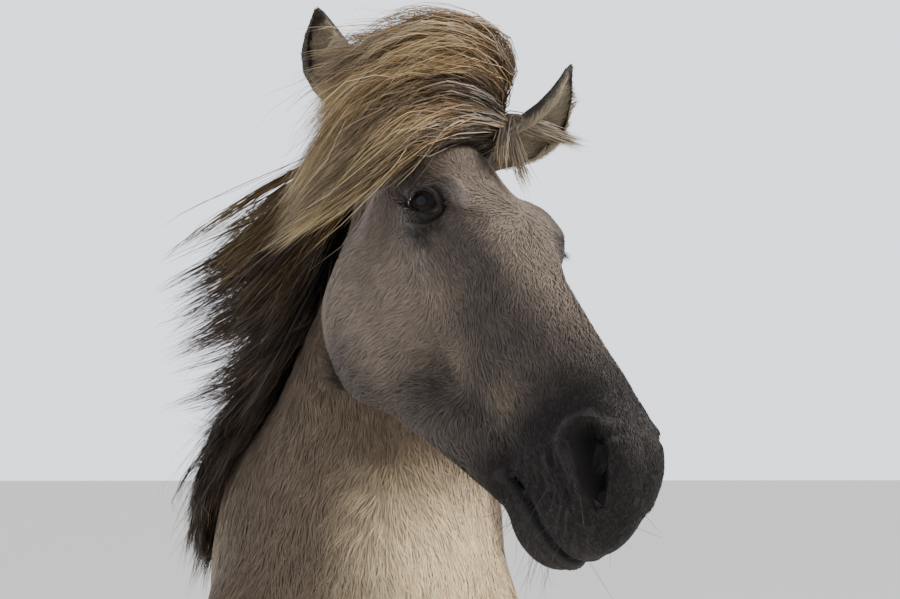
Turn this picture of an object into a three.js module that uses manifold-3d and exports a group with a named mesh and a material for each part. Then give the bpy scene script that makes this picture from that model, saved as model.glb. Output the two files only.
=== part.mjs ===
// Icelandic horse standing square with its head raised and turned to its left, life size, in millimetres.
// The frame is +Z up, the horse faces -Y, and its left side is +X. It stands on z = 0.
// The body is one smooth field of muscle masses. Rings of rays along the spine and down each leg
// find the field's surface, and thin cuts part it into torso, neck, head, dock and legs.
import * as THREE from 'three';
import Module from 'manifold-3d';
import { mergeVertices } from 'three/addons/utils/BufferGeometryUtils.js';

const wasm = await Module();
wasm.setup();

// Driving sizes of the animal.
const WITHERS_HEIGHT = 1380;
const HEAD_LENGTH = 565;
const GAP = 0.35;
const SIDES = 32;
const LEG_SIDES = 12;
const EYE_RADIUS = 23;
const HOOF_HEIGHT = 84;

// The head's pose: where the poll is, how far the face turns left of straight ahead, how steeply it
// points down, and how far the head leans to its left.
const POLL = [55, -920, 1700];
const FACE_YAW = 24;
const FACE_PITCH = 49;
const FACE_ROLL = -4;

const rad = THREE.MathUtils.degToRad;
const vec = (p) => new THREE.Vector3(p[0], p[1], p[2]);
const mix = THREE.MathUtils.lerp;

// The head's own frame: a runs from poll to lips, b to the horse's left, c out of the forehead.
const headFrame = (() => {
  const along = new THREE.Vector3(
    Math.sin(rad(FACE_YAW)) * Math.cos(rad(FACE_PITCH)),
    -Math.cos(rad(FACE_YAW)) * Math.cos(rad(FACE_PITCH)),
    -Math.sin(rad(FACE_PITCH)),
  );
  const left = new THREE.Vector3(Math.cos(rad(FACE_YAW)), Math.sin(rad(FACE_YAW)), 0);
  left.applyAxisAngle(along, rad(FACE_ROLL));
  const dorsal = new THREE.Vector3().crossVectors(along, left);
  return new THREE.Matrix4().makeBasis(along, left, dorsal).setPosition(...POLL);
})();
const headInverse = headFrame.clone().invert();
const fromHead = (a, b, c) => new THREE.Vector3(a, b, c).applyMatrix4(headFrame);
const headDirection = (a, b, c) => new THREE.Vector3(a, b, c).transformDirection(headFrame);

// Field helpers. A field is a signed distance in millimetres, negative inside.
function smoothMin(a, b, blend) {
  const h = Math.max(blend - Math.abs(a - b), 0) / blend;
  return Math.min(a, b) - h * h * blend * 0.25;
}

// An ellipsoid, pitched about the lateral axis and yawed about the vertical one.
function egg(centre, radii, pitch = 0, yaw = 0) {
  const turn = new THREE.Matrix4().makeRotationFromEuler(new THREE.Euler(rad(pitch), 0, rad(yaw), 'ZXY'));
  const e = turn.transpose().elements;
  return (x, y, z) => {
    const dx = x - centre[0];
    const dy = y - centre[1];
    const dz = z - centre[2];
    const u = (e[0] * dx + e[4] * dy + e[8] * dz) / radii[0];
    const v = (e[1] * dx + e[5] * dy + e[9] * dz) / radii[1];
    const w = (e[2] * dx + e[6] * dy + e[10] * dz) / radii[2];
    const k0 = Math.hypot(u, v, w);
    const k1 = Math.hypot(u / radii[0], v / radii[1], w / radii[2]);
    return k0 < 1e-6 ? -Math.min(...radii) : (k0 * (k0 - 1)) / k1;
  };
}

// A tapered limb between two points, squeezed sideways by flat.
function limb(from, to, startRadius, endRadius, flat = 1) {
  const axis = [(to[0] - from[0]) / flat, to[1] - from[1], to[2] - from[2]];
  const length2 = axis[0] ** 2 + axis[1] ** 2 + axis[2] ** 2;
  return (x, y, z) => {
    const dx = (x - from[0]) / flat;
    const dy = y - from[1];
    const dz = z - from[2];
    const t = THREE.MathUtils.clamp((dx * axis[0] + dy * axis[1] + dz * axis[2]) / length2, 0, 1);
    const d = Math.hypot(dx - t * axis[0], dy - t * axis[1], dz - t * axis[2]);
    return (d - mix(startRadius, endRadius, t)) * Math.min(1, flat);
  };
}

const blendAll = (fields, blend) => (x, y, z) => {
  let d = fields[0](x, y, z);
  for (let i = 1; i < fields.length; i++) d = smoothMin(d, fields[i](x, y, z), blend);
  return d;
};

// A tube of oval section along stations of [centre, half width, half depth], with its lateral axis given at each.
function ovalChain(stations, steps) {
  const curve = new THREE.CatmullRomCurve3(stations.map((s) => vec(s.at)));
  const lateral = new THREE.CatmullRomCurve3(stations.map((s) => vec(s.lateral)));
  const size = new THREE.CatmullRomCurve3(stations.map((s) => new THREE.Vector3(s.width, s.depth, 0)));
  const spots = [];
  for (let i = 0; i <= steps; i++) {
    const t = i / steps;
    const s = size.getPoint(t);
    spots.push({ c: curve.getPoint(t), l: lateral.getPoint(t).normalize(), w: s.x, d: s.y });
  }
  return (x, y, z) => {
    let best = Infinity;
    for (let i = 0; i < steps; i++) {
      const p = spots[i];
      const q = spots[i + 1];
      const ax = q.c.x - p.c.x;
      const ay = q.c.y - p.c.y;
      const az = q.c.z - p.c.z;
      const share = ((x - p.c.x) * ax + (y - p.c.y) * ay + (z - p.c.z) * az) / (ax * ax + ay * ay + az * az);
      const t = Math.max(0, Math.min(1, share));
      const vx = x - mix(p.c.x, q.c.x, t);
      const vy = y - mix(p.c.y, q.c.y, t);
      const vz = z - mix(p.c.z, q.c.z, t);
      const side = vx * mix(p.l.x, q.l.x, t) + vy * mix(p.l.y, q.l.y, t) + vz * mix(p.l.z, q.l.z, t);
      const rest = Math.sqrt(Math.max(vx * vx + vy * vy + vz * vz - side * side, 0));
      const w = mix(p.w, q.w, t);
      const d = mix(p.d, q.d, t);
      best = Math.min(best, (Math.hypot(side / w, rest / d) - 1) * Math.min(w, d));
    }
    return best;
  };
}

// Torso masses, for the left side. The right side mirrors them.
const barrel = ovalChain(
  [
    { at: [0, -560, 1080], lateral: [1, 0, 0], width: 150, depth: 230 },
    { at: [0, -420, 1040], lateral: [1, 0, 0], width: 196, depth: 296 },
    { at: [0, -240, 1000], lateral: [1, 0, 0], width: 240, depth: 298 },
    { at: [0, -50, 984], lateral: [1, 0, 0], width: 264, depth: 300 },
    { at: [0, 130, 990], lateral: [1, 0, 0], width: 262, depth: 296 },
    { at: [0, 300, 1020], lateral: [1, 0, 0], width: 236, depth: 270 },
    { at: [0, 420, 1080], lateral: [1, 0, 0], width: 200, depth: 222 },
    { at: [0, 520, 1120], lateral: [1, 0, 0], width: 130, depth: 150 },
  ],
  14,
);
const topline = ovalChain(
  [
    { at: [0, -470, WITHERS_HEIGHT - 130], lateral: [1, 0, 0], width: 80, depth: 112 },
    { at: [0, -370, WITHERS_HEIGHT - 114], lateral: [1, 0, 0], width: 80, depth: 112 },
    { at: [0, -250, WITHERS_HEIGHT - 142], lateral: [1, 0, 0], width: 96, depth: 112 },
    { at: [0, -80, WITHERS_HEIGHT - 186], lateral: [1, 0, 0], width: 130, depth: 112 },
    { at: [0, 110, WITHERS_HEIGHT - 186], lateral: [1, 0, 0], width: 140, depth: 116 },
    { at: [0, 280, WITHERS_HEIGHT - 176], lateral: [1, 0, 0], width: 150, depth: 126 },
    { at: [0, 420, WITHERS_HEIGHT - 182], lateral: [1, 0, 0], width: 150, depth: 142 },
    { at: [0, 550, WITHERS_HEIGHT - 212], lateral: [1, 0, 0], width: 112, depth: 138 },
    { at: [0, 625, WITHERS_HEIGHT - 246], lateral: [1, 0, 0], width: 62, depth: 100 },
  ],
  12,
);
const torsoMasses = blendAll(
  [
    barrel,
    topline,
    egg([142, -440, 1130], [98, 132, 220], 22),
    egg([148, -572, 1030], [98, 98, 112]),
    egg([74, -622, 950], [88, 88, 108]),
    egg([162, -420, 930], [70, 130, 130], 20),
    egg([120, 400, 1180], [120, 190, 130], 8),
    egg([148, 450, 1030], [104, 205, 215], -18),
    egg([108, 588, 1050], [88, 104, 200], -6),
    egg([158, 345, 915], [80, 100, 125], -14),
  ],
  60,
);
const torsoField = (x, y, z) => torsoMasses(Math.abs(x), y, z);

// The neck rises from the shoulders, bends left and narrows to the throat inside the head.
const neckChain = ovalChain(
  [
    { at: [0, -470, 1130], lateral: [1, 0, 0], width: 208, depth: 280 },
    { at: [0, -540, 1245], lateral: [1, 0.03, 0], width: 184, depth: 226 },
    { at: [4, -620, 1355], lateral: [1, 0.1, 0], width: 150, depth: 180 },
    { at: [11, -708, 1455], lateral: [0.98, 0.18, 0], width: 116, depth: 150 },
    { at: [20, -792, 1543], lateral: [0.95, 0.28, -0.02], width: 92, depth: 120 },
    { at: fromHead(14, 0, -104).toArray(), lateral: [0.91, 0.4, -0.05], width: 72, depth: 86 },
    { at: fromHead(76, 0, -120).toArray(), lateral: [0.91, 0.4, -0.05], width: 50, depth: 64 },
  ],
  14,
);

// Head masses, in the head's own frame, for the left side.
const skullMasses = blendAll(
  [
    egg([68, 0, -66], [108, 84, 76]),
    egg([182, 0, -56], [120, 90, 66]),
    egg([184, 68, -38], [48, 38, 38]),
    egg([166, 44, -158], [110, 46, 124]),
    limb([210, 0, -54], [468, 0, -66], 62, 46, 0.74),
    limb([235, 0, -104], [450, 0, -98], 78, 56, 0.88),
    limb([205, 40, -240], [430, 22, -166], 42, 31),
    egg([494, 0, -88], [55, 35, 52]),
    egg([500, 18, -74], [37, 20, 35]),
    egg([528, 0, -120], [33, 33, 40]),
    egg([490, 0, -170], [52, 34, 38]),
    limb([84, 50, -98], [110, 50, -228], 34, 42),
  ],
  26,
);
const crestRidge = limb([226, 70, -76], [345, 52, -90], 18, 14);
const headMasses = (a, b, c) => smoothMin(skullMasses(a, b, c), crestRidge(a, b, c), 20);
const inverse = headInverse.elements;
function headField(x, y, z) {
  const a = inverse[0] * x + inverse[4] * y + inverse[8] * z + inverse[12];
  const b = inverse[1] * x + inverse[5] * y + inverse[9] * z + inverse[13];
  const c = inverse[2] * x + inverse[6] * y + inverse[10] * z + inverse[14];
  return headMasses(a, Math.abs(b), c);
}

const bodyField = (x, y, z) => smoothMin(torsoField(x, y, z), neckChain(x, y, z), 90);

// The distance from a centre along a ray to the field's surface.
function castRay(field, centre, ray, reach, grow) {
  let t = 0;
  let step = 0;
  for (let i = 0; i < 80; i++) {
    const inside = grow - field(centre.x + ray.x * t, centre.y + ray.y * t, centre.z + ray.z * t);
    if (inside <= 0) break;
    step = Math.max(inside * 0.8, 1.5);
    t += step;
    if (t > reach) return reach;
  }
  let low = Math.max(t - step, 0);
  let high = t;
  for (let i = 0; i < 12; i++) {
    const middle = (low + high) / 2;
    const d = field(centre.x + ray.x * middle, centre.y + ray.y * middle, centre.z + ray.z * middle);
    if (d < grow) low = middle;
    else high = middle;
  }
  return Math.min(high, reach);
}

// The points where a ring of rays meets the field. The ring lies across normal, its first ray points away
// from lateral, and cone tips its rays along normal.
function castRing(field, ring, sides, grow) {
  const side = ring.lateral.clone().addScaledVector(ring.normal, -ring.lateral.dot(ring.normal)).normalize();
  const top = new THREE.Vector3().crossVectors(ring.normal, side);
  const cone = rad(ring.cone ?? 0);
  const points = [];
  for (let j = 0; j < sides; j++) {
    const angle = (2 * Math.PI * j) / sides;
    const ray = top.clone().multiplyScalar(Math.cos(angle) * Math.cos(cone));
    ray.addScaledVector(side, Math.sin(angle) * Math.cos(cone)).addScaledVector(ring.normal, Math.sin(cone));
    points.push(ring.centre.clone().addScaledVector(ray, castRay(field, ring.centre, ray, ring.reach ?? 900, grow)));
  }
  return points;
}

// A closed skin over rings of equal count, with one apex at each end. On a blade, every second strip is
// split the other way, so that its two faces have their creases in the same places.
function closedSkin(startApex, rings, endApex, blade = false) {
  const sides = rings[0].length;
  const points = [startApex, ...rings.flat(), endApex];
  const index = [];
  const at = (i, j) => 1 + i * sides + (j % sides);
  for (let j = 0; j < sides; j++) {
    index.push(0, at(0, j), at(0, j + 1));
    index.push(points.length - 1, at(rings.length - 1, j + 1), at(rings.length - 1, j));
    for (let i = 0; i + 1 < rings.length; i++) {
      if (blade && j % 2) index.push(at(i, j), at(i + 1, j), at(i, j + 1), at(i, j + 1), at(i + 1, j), at(i + 1, j + 1));
      else index.push(at(i, j), at(i + 1, j + 1), at(i, j + 1), at(i, j), at(i + 1, j), at(i + 1, j + 1));
    }
  }
  const geometry = new THREE.BufferGeometry().setFromPoints(points);
  geometry.setIndex(index);
  return geometry;
}

// Three.js geometry to a manifold solid and back.
function toSolid(geometry) {
  const bare = geometry.clone();
  bare.deleteAttribute('normal');
  bare.deleteAttribute('uv');
  const merged = mergeVertices(bare, 1e-3);
  const solid = new wasm.Manifold(
    new wasm.Mesh({
      numProp: 3,
      vertProperties: new Float32Array(merged.attributes.position.array),
      triVerts: new Uint32Array(merged.index.array),
    }),
  );
  return solid;
}

function fromSolid(solid) {
  const { numProp, vertProperties, triVerts } = solid.getMesh();
  const positions = new Float32Array((vertProperties.length / numProp) * 3);
  for (let i = 0; i < positions.length / 3; i++) {
    positions.set(vertProperties.subarray(i * numProp, i * numProp + 3), i * 3);
  }
  const geometry = new THREE.BufferGeometry();
  geometry.setAttribute('position', new THREE.BufferAttribute(positions, 3));
  geometry.setIndex(new THREE.BufferAttribute(new Uint32Array(triVerts), 1));
  return geometry;
}

// The largest closed body of a solid.
function largest(solid) {
  return solid.decompose().reduce((best, piece) => (piece.volume() > best.volume() ? piece : best));
}

// Spine rings from the buttocks to the neck's base, as [y, z, tilt of the ring's plane].
const torsoStations = [
  [540, 1084, 0],
  [485, 1074, 0],
  [415, 1058, 0],
  [340, 1042, 0],
  [260, 1026, 0],
  [170, 1014, 0],
  [75, 1006, 0],
  [-20, 1004, 0],
  [-115, 1008, 0],
  [-200, 1014, 0],
  [-275, 1024, 0],
  [-335, 1036, 1],
  [-385, 1052, 5],
  [-430, 1072, 11],
  [-470, 1097, 18],
  [-506, 1124, 25],
  [-540, 1150, 32],
  [-572, 1180, 39],
];
const torsoRing = ([y, z, tilt], cone = 0) => ({
  centre: new THREE.Vector3(0, y, z),
  normal: new THREE.Vector3(0, -Math.cos(rad(tilt)), Math.sin(rad(tilt))),
  lateral: new THREE.Vector3(-1, 0, 0),
  cone,
});
const torsoRings = [
  ...[-72, -54, -38, -24, -11].map((cone) => torsoRing(torsoStations[0], cone)),
  ...torsoStations.map((station) => torsoRing(station)),
];

// Neck rings fan from the torso's last plane to the throat, inside the head.
const neckStart = torsoRings[torsoRings.length - 1];
const neckKeys = [
  neckStart,
  { centre: vec([2, -600, 1290]), normal: vec([0.02, -0.66, 0.74]), lateral: vec([-1, -0.05, 0]) },
  { centre: vec([8, -672, 1385]), normal: vec([0.06, -0.66, 0.74]), lateral: vec([-0.99, -0.12, 0]) },
  { centre: vec([16, -752, 1475]), normal: vec([0.12, -0.7, 0.68]), lateral: vec([-0.97, -0.22, 0]) },
  { centre: fromHead(16, 0, -112), normal: vec([0.2, -0.74, 0.62]), lateral: vec([-0.91, -0.4, 0.05]) },
  { centre: fromHead(24, 0, -66), normal: vec([0.26, -0.8, 0.5]), lateral: vec([-0.91, -0.4, 0.05]) },
];
function ringsBetween(keys, count) {
  const centres = new THREE.CatmullRomCurve3(keys.map((k) => k.centre));
  const normals = new THREE.CatmullRomCurve3(keys.map((k) => k.normal));
  const laterals = new THREE.CatmullRomCurve3(keys.map((k) => k.lateral));
  return Array.from({ length: count + 1 }, (_, i) => ({
    centre: centres.getPoint(i / count),
    normal: normals.getPoint(i / count).normalize(),
    lateral: laterals.getPoint(i / count).normalize(),
  }));
}
const neckRings = ringsBetween(neckKeys, 12);

// Head rings, as [a, c, tilt], from behind the ears to the lips.
const headStations = [
  [104, -128, 8],
  [118, -127, 5],
  [132, -125, 3],
  [145, -123, 1],
  [157, -121, 0],
  [169, -118, 0],
  [181, -115, 0],
  [194, -112, 0],
  [208, -109, 0],
  [224, -106, 0],
  [244, -103, 0],
  [268, -101, 0],
  [294, -99, 0],
  [322, -98, 0],
  [350, -97, 0],
  [376, -96, 0],
  [400, -95, 0],
  [422, -94, 0],
  [442, -94, 0],
  [459, -94, 0],
  [474, -94, 0],
  [488, -94, 0],
];
const headRing = ([a, c, tilt], cone = 0) => ({
  centre: fromHead(a, 0, c),
  normal: headDirection(Math.cos(rad(tilt)), 0, Math.sin(rad(tilt))),
  lateral: headDirection(0, -1, 0),
  cone,
});
const headRings = [
  ...[-70, -52, -37, -24, -11].map((cone) => headRing(headStations[0], cone)),
  ...headStations.map((station) => headRing(station)),
  ...[12, 25, 38, 51, 63, 76].map((cone) => headRing(headStations[headStations.length - 1], cone)),
];

// A run of rings cast on the body, shortened by the gap at the ends where it meets its neighbour.
function bodySection(rings, { grow = 0, startRound = false, endRound = false, field = bodyField } = {}) {
  const casts = rings.map((ring, i) => {
    const centre = ring.centre.clone();
    if (i === rings.length - 1 && !endRound) centre.addScaledVector(ring.normal, -GAP);
    return castRing(field, { ...ring, centre }, SIDES, grow);
  });
  const first = rings[0];
  const last = rings[rings.length - 1];
  const apex = (ring, outward) => {
    const ray = ring.normal.clone().multiplyScalar(outward);
    return ring.centre.clone().addScaledVector(ray, castRay(field, ring.centre, ray, 400, grow));
  };
  const startApex = startRound ? apex(first, -1) : first.centre.clone();
  const endApex = endRound ? apex(last, 1) : last.centre.clone().addScaledVector(last.normal, -GAP);
  return closedSkin(startApex, casts, endApex);
}

const headSkin = (grow) => toSolid(bodySection(headRings, { grow, startRound: true, endRound: true, field: headField }));
const torsoSolid = toSolid(bodySection(torsoRings, { startRound: true }));
const headShell = headSkin(0);
const headGrown = headSkin(GAP);
const neckSolid = largest(toSolid(bodySection(neckRings)).subtract(headGrown));

// Legs. Each side's masses and axis are for the left leg, and a stride moves its foot along y.
const FORE_AXIS = [
  [142, -425, 900],
  [146, -430, 820],
  [142, -436, 640],
  [138, -444, 450],
  [135, -446, 320],
  [133, -448, 185],
  [131, -470, 132],
  [130, -496, 84],
];
const HIND_AXIS = [
  [152, 430, 960],
  [152, 430, 880],
  [150, 470, 790],
  [146, 560, 680],
  [141, 634, 575],
  [137, 650, 460],
  [134, 652, 300],
  [134, 650, 205],
  [132, 628, 140],
  [131, 602, 84],
];
const foreMasses = blendAll(
  [
    limb([142, -425, 880], [139, -440, 560], 92, 50, 0.82),
    egg([150, -455, 770], [58, 62, 120], 6),
    limb([139, -440, 560], [138, -446, 440], 47, 42, 0.95),
    egg([138, -450, 445], [42, 44, 56]),
    limb([137, -442, 420], [133, -446, 220], 37, 35, 0.78),
    egg([133, -444, 188], [38, 44, 40]),
    limb([132, -452, 165], [130, -490, 92], 34, 42, 0.95),
    egg([130, -496, 84], [50, 54, 28], -20),
  ],
  34,
);
const hindMasses = blendAll(
  [
    egg([150, 430, 930], [92, 172, 165], -14),
    limb([152, 380, 845], [143, 615, 598], 106, 48, 0.74),
    limb([136, 610, 940], [141, 660, 640], 78, 32, 0.8),
    limb([142, 640, 690], [139, 700, 600], 30, 20, 0.8),
    egg([140, 650, 548], [42, 56, 62], -30),
    egg([139, 698, 592], [22, 24, 30]),
    limb([138, 656, 500], [135, 652, 240], 42, 37, 0.76),
    egg([134, 652, 200], [39, 45, 41]),
    limb([133, 642, 175], [131, 606, 95], 35, 43, 0.95),
    egg([131, 600, 84], [51, 55, 28], -20),
  ],
  34,
);
const LEGS = [
  { name: 'foreleg_left', side: 1, stride: -35, axis: FORE_AXIS, masses: foreMasses },
  { name: 'foreleg_right', side: -1, stride: 25, axis: FORE_AXIS, masses: foreMasses },
  { name: 'hindleg_left', side: 1, stride: 45, axis: HIND_AXIS, masses: hindMasses },
  { name: 'hindleg_right', side: -1, stride: -30, axis: HIND_AXIS, masses: hindMasses },
];
const LEG_TOP = 860;
const CORONET_SLOPE = 24;
const LEG_RINGS = 18;

// How far a foot's stride has moved the leg at this height.
const strideAt = (stride, z) => stride * THREE.MathUtils.clamp((LEG_TOP - z) / LEG_TOP, 0, 1);

function legParts({ side, stride, axis, masses }) {
  const field = (x, y, z) => {
    const leg = masses(x * side, y - strideAt(stride, z), z);
    return smoothMin(leg, torsoField(x, y, z), 60);
  };
  const place = (p) => new THREE.Vector3(p[0] * side, p[1] + strideAt(stride, p[2]), p[2]);
  const curve = new THREE.CatmullRomCurve3(axis.map(place));
  const coronet = new THREE.Vector3(0, Math.sin(rad(CORONET_SLOPE)), -Math.cos(rad(CORONET_SLOPE)));
  const rings = [];
  for (let i = 0; i <= LEG_RINGS; i++) {
    const t = i / LEG_RINGS;
    const centre = curve.getPointAt(t);
    const end = THREE.MathUtils.smoothstep(t, 0.86, 1);
    const normal = curve.getTangentAt(t).lerp(coronet, end).normalize();
    const reach = mix(210, 90, THREE.MathUtils.smoothstep(t, 0, 0.35));
    rings.push({ centre, normal, lateral: new THREE.Vector3(-1, 0, 0), reach });
  }
  const casts = rings.map((ring) => castRing(field, ring, LEG_SIDES, 0));
  const skin = closedSkin(rings[0].centre, casts, rings[LEG_RINGS].centre);
  const foot = rings[LEG_RINGS];
  return { solid: toSolid(skin), foot, coronetRing: casts[LEG_RINGS] };
}

// A hoof under the coronet: its wall slopes out to a flat sole.
function hoofSolid({ foot, coronetRing }) {
  const sole = { front: 66, back: 60, half: 58, lead: -16 };
  const top = coronetRing.map((p) => p.clone().addScaledVector(foot.normal, GAP));
  const bottom = coronetRing.map((p) => {
    const out = p.clone().sub(foot.centre).setZ(0).normalize();
    const length = out.y < 0 ? sole.front : sole.back;
    return new THREE.Vector3(foot.centre.x + out.x * sole.half, foot.centre.y + sole.lead + out.y * length, 0);
  });
  const middle = top.map((p, i) => p.clone().lerp(bottom[i], 0.5));
  const start = foot.centre.clone().addScaledVector(foot.normal, GAP);
  const end = new THREE.Vector3(foot.centre.x, foot.centre.y + sole.lead, 0);
  return toSolid(closedSkin(start, [top, middle, bottom], end));
}

const horse = new THREE.Group();
const coat = new THREE.MeshStandardMaterial({ color: 0x9d8a70, roughness: 0.9 });
const hornMaterial = new THREE.MeshStandardMaterial({ color: 0x3a332c, roughness: 0.6 });
const eyeMaterial = new THREE.MeshStandardMaterial({ color: 0x0d0908, roughness: 0.08 });
const nodes = [];
function addNode(name, solid, material) {
  nodes.push({ name, solid, material });
}

const torsoGrown = toSolid(bodySection(torsoRings, { grow: GAP, startRound: true }));

// Eyes in their sockets, seen through an almond opening between the lids. Each looks out and forward.
const EYE_SPOT = [176, 84, -37];
const EYE_LOOK = 33;
const EYE_SLANT = -24;
const EYE_SEGMENTS = 14;
const NOSTRIL_SPOT = [514, 46, -68];
let headSolid = headShell;
function headBall(scale, spot, turn = [0, 0, 0]) {
  const ball = new THREE.SphereGeometry(1, EYE_SEGMENTS, Math.round(EYE_SEGMENTS * 0.7));
  ball.scale(...scale);
  ball.applyMatrix4(new THREE.Matrix4().makeRotationFromEuler(new THREE.Euler(...turn.map(rad))));
  ball.translate(...spot);
  ball.applyMatrix4(headFrame);
  return toSolid(ball);
}
const eyeBall = (side, radius) => headBall([radius, radius, radius], [EYE_SPOT[0], EYE_SPOT[1] * side, EYE_SPOT[2]]);
for (const [name, side] of [['left', 1], ['right', -1]]) {
  const lift = EYE_RADIUS * 0.95;
  const opening = [
    EYE_SPOT[0] + 1,
    (EYE_SPOT[1] + lift * Math.cos(rad(EYE_LOOK))) * side,
    EYE_SPOT[2] + lift * Math.sin(rad(EYE_LOOK)),
  ];
  const nostril = [NOSTRIL_SPOT[0], NOSTRIL_SPOT[1] * side, NOSTRIL_SPOT[2]];
  headSolid = headSolid.subtract(eyeBall(side, EYE_RADIUS + GAP));
  headSolid = headSolid.subtract(headBall([25, 18, 17], opening, [EYE_LOOK * side, EYE_SLANT, 0]));
  headSolid = headSolid.subtract(headBall([26, 17, 11], nostril, [0, 24, -14 * side]));
  addNode('eye_' + name, eyeBall(side, EYE_RADIUS), eyeMaterial);
}

// The line of the mouth: a thin groove round the muzzle, as deep as the lips are thick.
const MOUTH_LINE = [
  [444, -150],
  [470, -154],
  [504, -158],
  [536, -161],
  [584, -161],
];
const LIP_DEPTH = 9;
const MOUTH_OPENING = 2.4;
function mouthSheet() {
  const line = new THREE.CatmullRomCurve3(MOUTH_LINE.map(([a, c]) => new THREE.Vector3(a, 0, c)));
  const rings = Array.from({ length: 9 }, (_, i) => {
    const p = line.getPoint(i / 8);
    const half = (MOUTH_OPENING / 2) * Math.min(1, 0.2 + i);
    return [
      fromHead(p.x, -90, p.z + half),
      fromHead(p.x, 90, p.z + half),
      fromHead(p.x, 90, p.z - half),
      fromHead(p.x, -90, p.z - half),
    ];
  });
  const middle = (ring) => ring.reduce((sum, p) => sum.add(p), new THREE.Vector3()).multiplyScalar(1 / ring.length);
  return toSolid(closedSkin(middle(rings[0]), rings, middle(rings[8])));
}
headSolid = headSolid.subtract(mouthSheet().subtract(headSkin(-LIP_DEPTH)));

// Ears: cupped shells, open to the front. Each ring is an outer arc and an inner one.
const EAR_WALL = 5;
const EAR_ARC = 118;
const EARS = [
  { name: 'ear_left', base: [4, 52, -34], tip: [-31, 149, 135], hollow: [80, 22, 30] },
  { name: 'ear_right', base: [4, -54, -34], tip: [-62, -200, 60], hollow: [80, -52, 25] },
];
// Half width, depth, how far the cup is hollowed, and how far the ear bows back, up its length.
const EAR_PROFILE = [
  [0, 26, 24, 0, 0],
  [0.16, 31, 27, 0, 4],
  [0.3, 38, 28, 0.7, 8],
  [0.44, 41, 26, 1, 11],
  [0.58, 38, 22, 1, 11],
  [0.71, 31, 17, 1, 8],
  [0.83, 21, 12, 0.9, 5],
  [0.92, 12, 7, 0.5, 2],
  [0.98, 4, 3, 0, 0],
];
function earSolid({ base, tip, hollow }, grow = 0) {
  const root = fromHead(...base);
  const end = fromHead(...tip);
  const axis = end.clone().sub(root);
  const up = axis.clone().normalize();
  const front = headDirection(...hollow);
  front.addScaledVector(up, -front.dot(up)).normalize();
  const across = new THREE.Vector3().crossVectors(up, front);
  const rings = EAR_PROFILE.map(([t, width, depth, cup, bow]) => {
    const centre = root.clone().addScaledVector(axis, t).addScaledVector(front, -bow);
    const wall = Math.min(EAR_WALL, depth * 0.6);
    const place = (u, v) => centre.clone().addScaledVector(across, u).addScaledVector(front, v);
    const points = [];
    for (let k = 0; k < 7; k++) {
      const angle = rad(mix(-EAR_ARC, EAR_ARC, k / 6));
      points.push(place((width + grow) * Math.sin(angle), -(depth + grow) * Math.cos(angle)));
    }
    for (let k = 6; k >= 0; k--) {
      const angle = rad(mix(-EAR_ARC, EAR_ARC, k / 6));
      const flat = -depth * Math.cos(rad(EAR_ARC)) + wall + grow + 3 * Math.cos(angle * 0.7);
      const hollowed = -(depth - wall - grow) * Math.cos(angle) + wall * 0.4;
      const even = (angle / rad(EAR_ARC)) * Math.sin(rad(EAR_ARC));
      const half = (width - wall + grow * (1 - 2 * cup)) * mix(even, Math.sin(angle), cup);
      points.push(place(half, mix(flat, hollowed, cup)));
    }
    return points;
  });
  const last = rings[rings.length - 1];
  const centreOf = (ring) => ring.reduce((sum, p) => sum.add(p), new THREE.Vector3()).multiplyScalar(1 / ring.length);
  return toSolid(closedSkin(centreOf(rings[0]), rings, centreOf(last).addScaledVector(up, 1 + grow)));
}
for (const ear of EARS) addNode(ear.name, largest(earSolid(ear).subtract(headGrown)), coat);

// Locks of hair: flat tapered blades that bend along a path, four sided and thickest near the root.
// A tilt turns every lock of a row the same way, so that each lies over the edge of the next.
const random = (() => {
  let seed = 102;
  return () => {
    seed = (seed * 1664525 + 1013904223) % 4294967296;
    return seed / 4294967296;
  };
})();
const vary = (amount) => (random() * 2 - 1) * amount;
const LOCK_WIDTHS = [0.5, 0.8, 1, 0.9, 0.6, 0.26];
const FAN_WIDTHS = [0.14, 0.18, 0.5, 0.84, 1, 0.7, 0.3];
const LOCK_THICKNESS = [1, 1, 0.85, 0.65, 0.45, 0.3];
function along(values, t) {
  const at = (values.length - 1) * t;
  const low = Math.min(Math.floor(at), values.length - 2);
  return mix(values[low], values[low + 1], at - low);
}
function lockSolid(points, { width, thickness, facing, tilt = 0, steps = 6, widths = LOCK_WIDTHS }) {
  const curve = new THREE.CatmullRomCurve3(points);
  const rings = [];
  for (let i = 0; i < steps; i++) {
    const half = (width / 2) * along(widths, i / (steps - 1));
    const deep = (thickness / 2) * along(LOCK_THICKNESS, i / (steps - 1));
    const centre = curve.getPoint(i / steps);
    const tangent = curve.getTangent(i / steps);
    const out = facing(centre, i / steps, tangent).clone();
    out.addScaledVector(tangent, -out.dot(tangent)).normalize().applyAxisAngle(tangent, rad(tilt));
    const across = new THREE.Vector3().crossVectors(tangent, out);
    rings.push([
      centre.clone().addScaledVector(across, half),
      centre.clone().addScaledVector(out, deep),
      centre.clone().addScaledVector(across, -half),
      centre.clone().addScaledVector(out, -deep),
    ]);
  }
  const start = curve.getPoint(0).addScaledVector(curve.getTangent(0), -4);
  return toSolid(closedSkin(start, rings, curve.getPoint(1), true));
}
function gradient(field, p) {
  const e = 2;
  return new THREE.Vector3(
    field(p.x + e, p.y, p.z) - field(p.x - e, p.y, p.z),
    field(p.x, p.y + e, p.z) - field(p.x, p.y - e, p.z),
    field(p.x, p.y, p.z + e) - field(p.x, p.y, p.z - e),
  ).normalize();
}
// The point, pushed out of the field until it is clear of it by gap.
function clearOf(field, p, gap) {
  const q = p.clone();
  for (let i = 0; i < 6; i++) {
    const d = field(q.x, q.y, q.z);
    if (d >= gap) break;
    q.addScaledVector(gradient(field, q), (gap - d) * 0.9);
  }
  return q;
}
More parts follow.
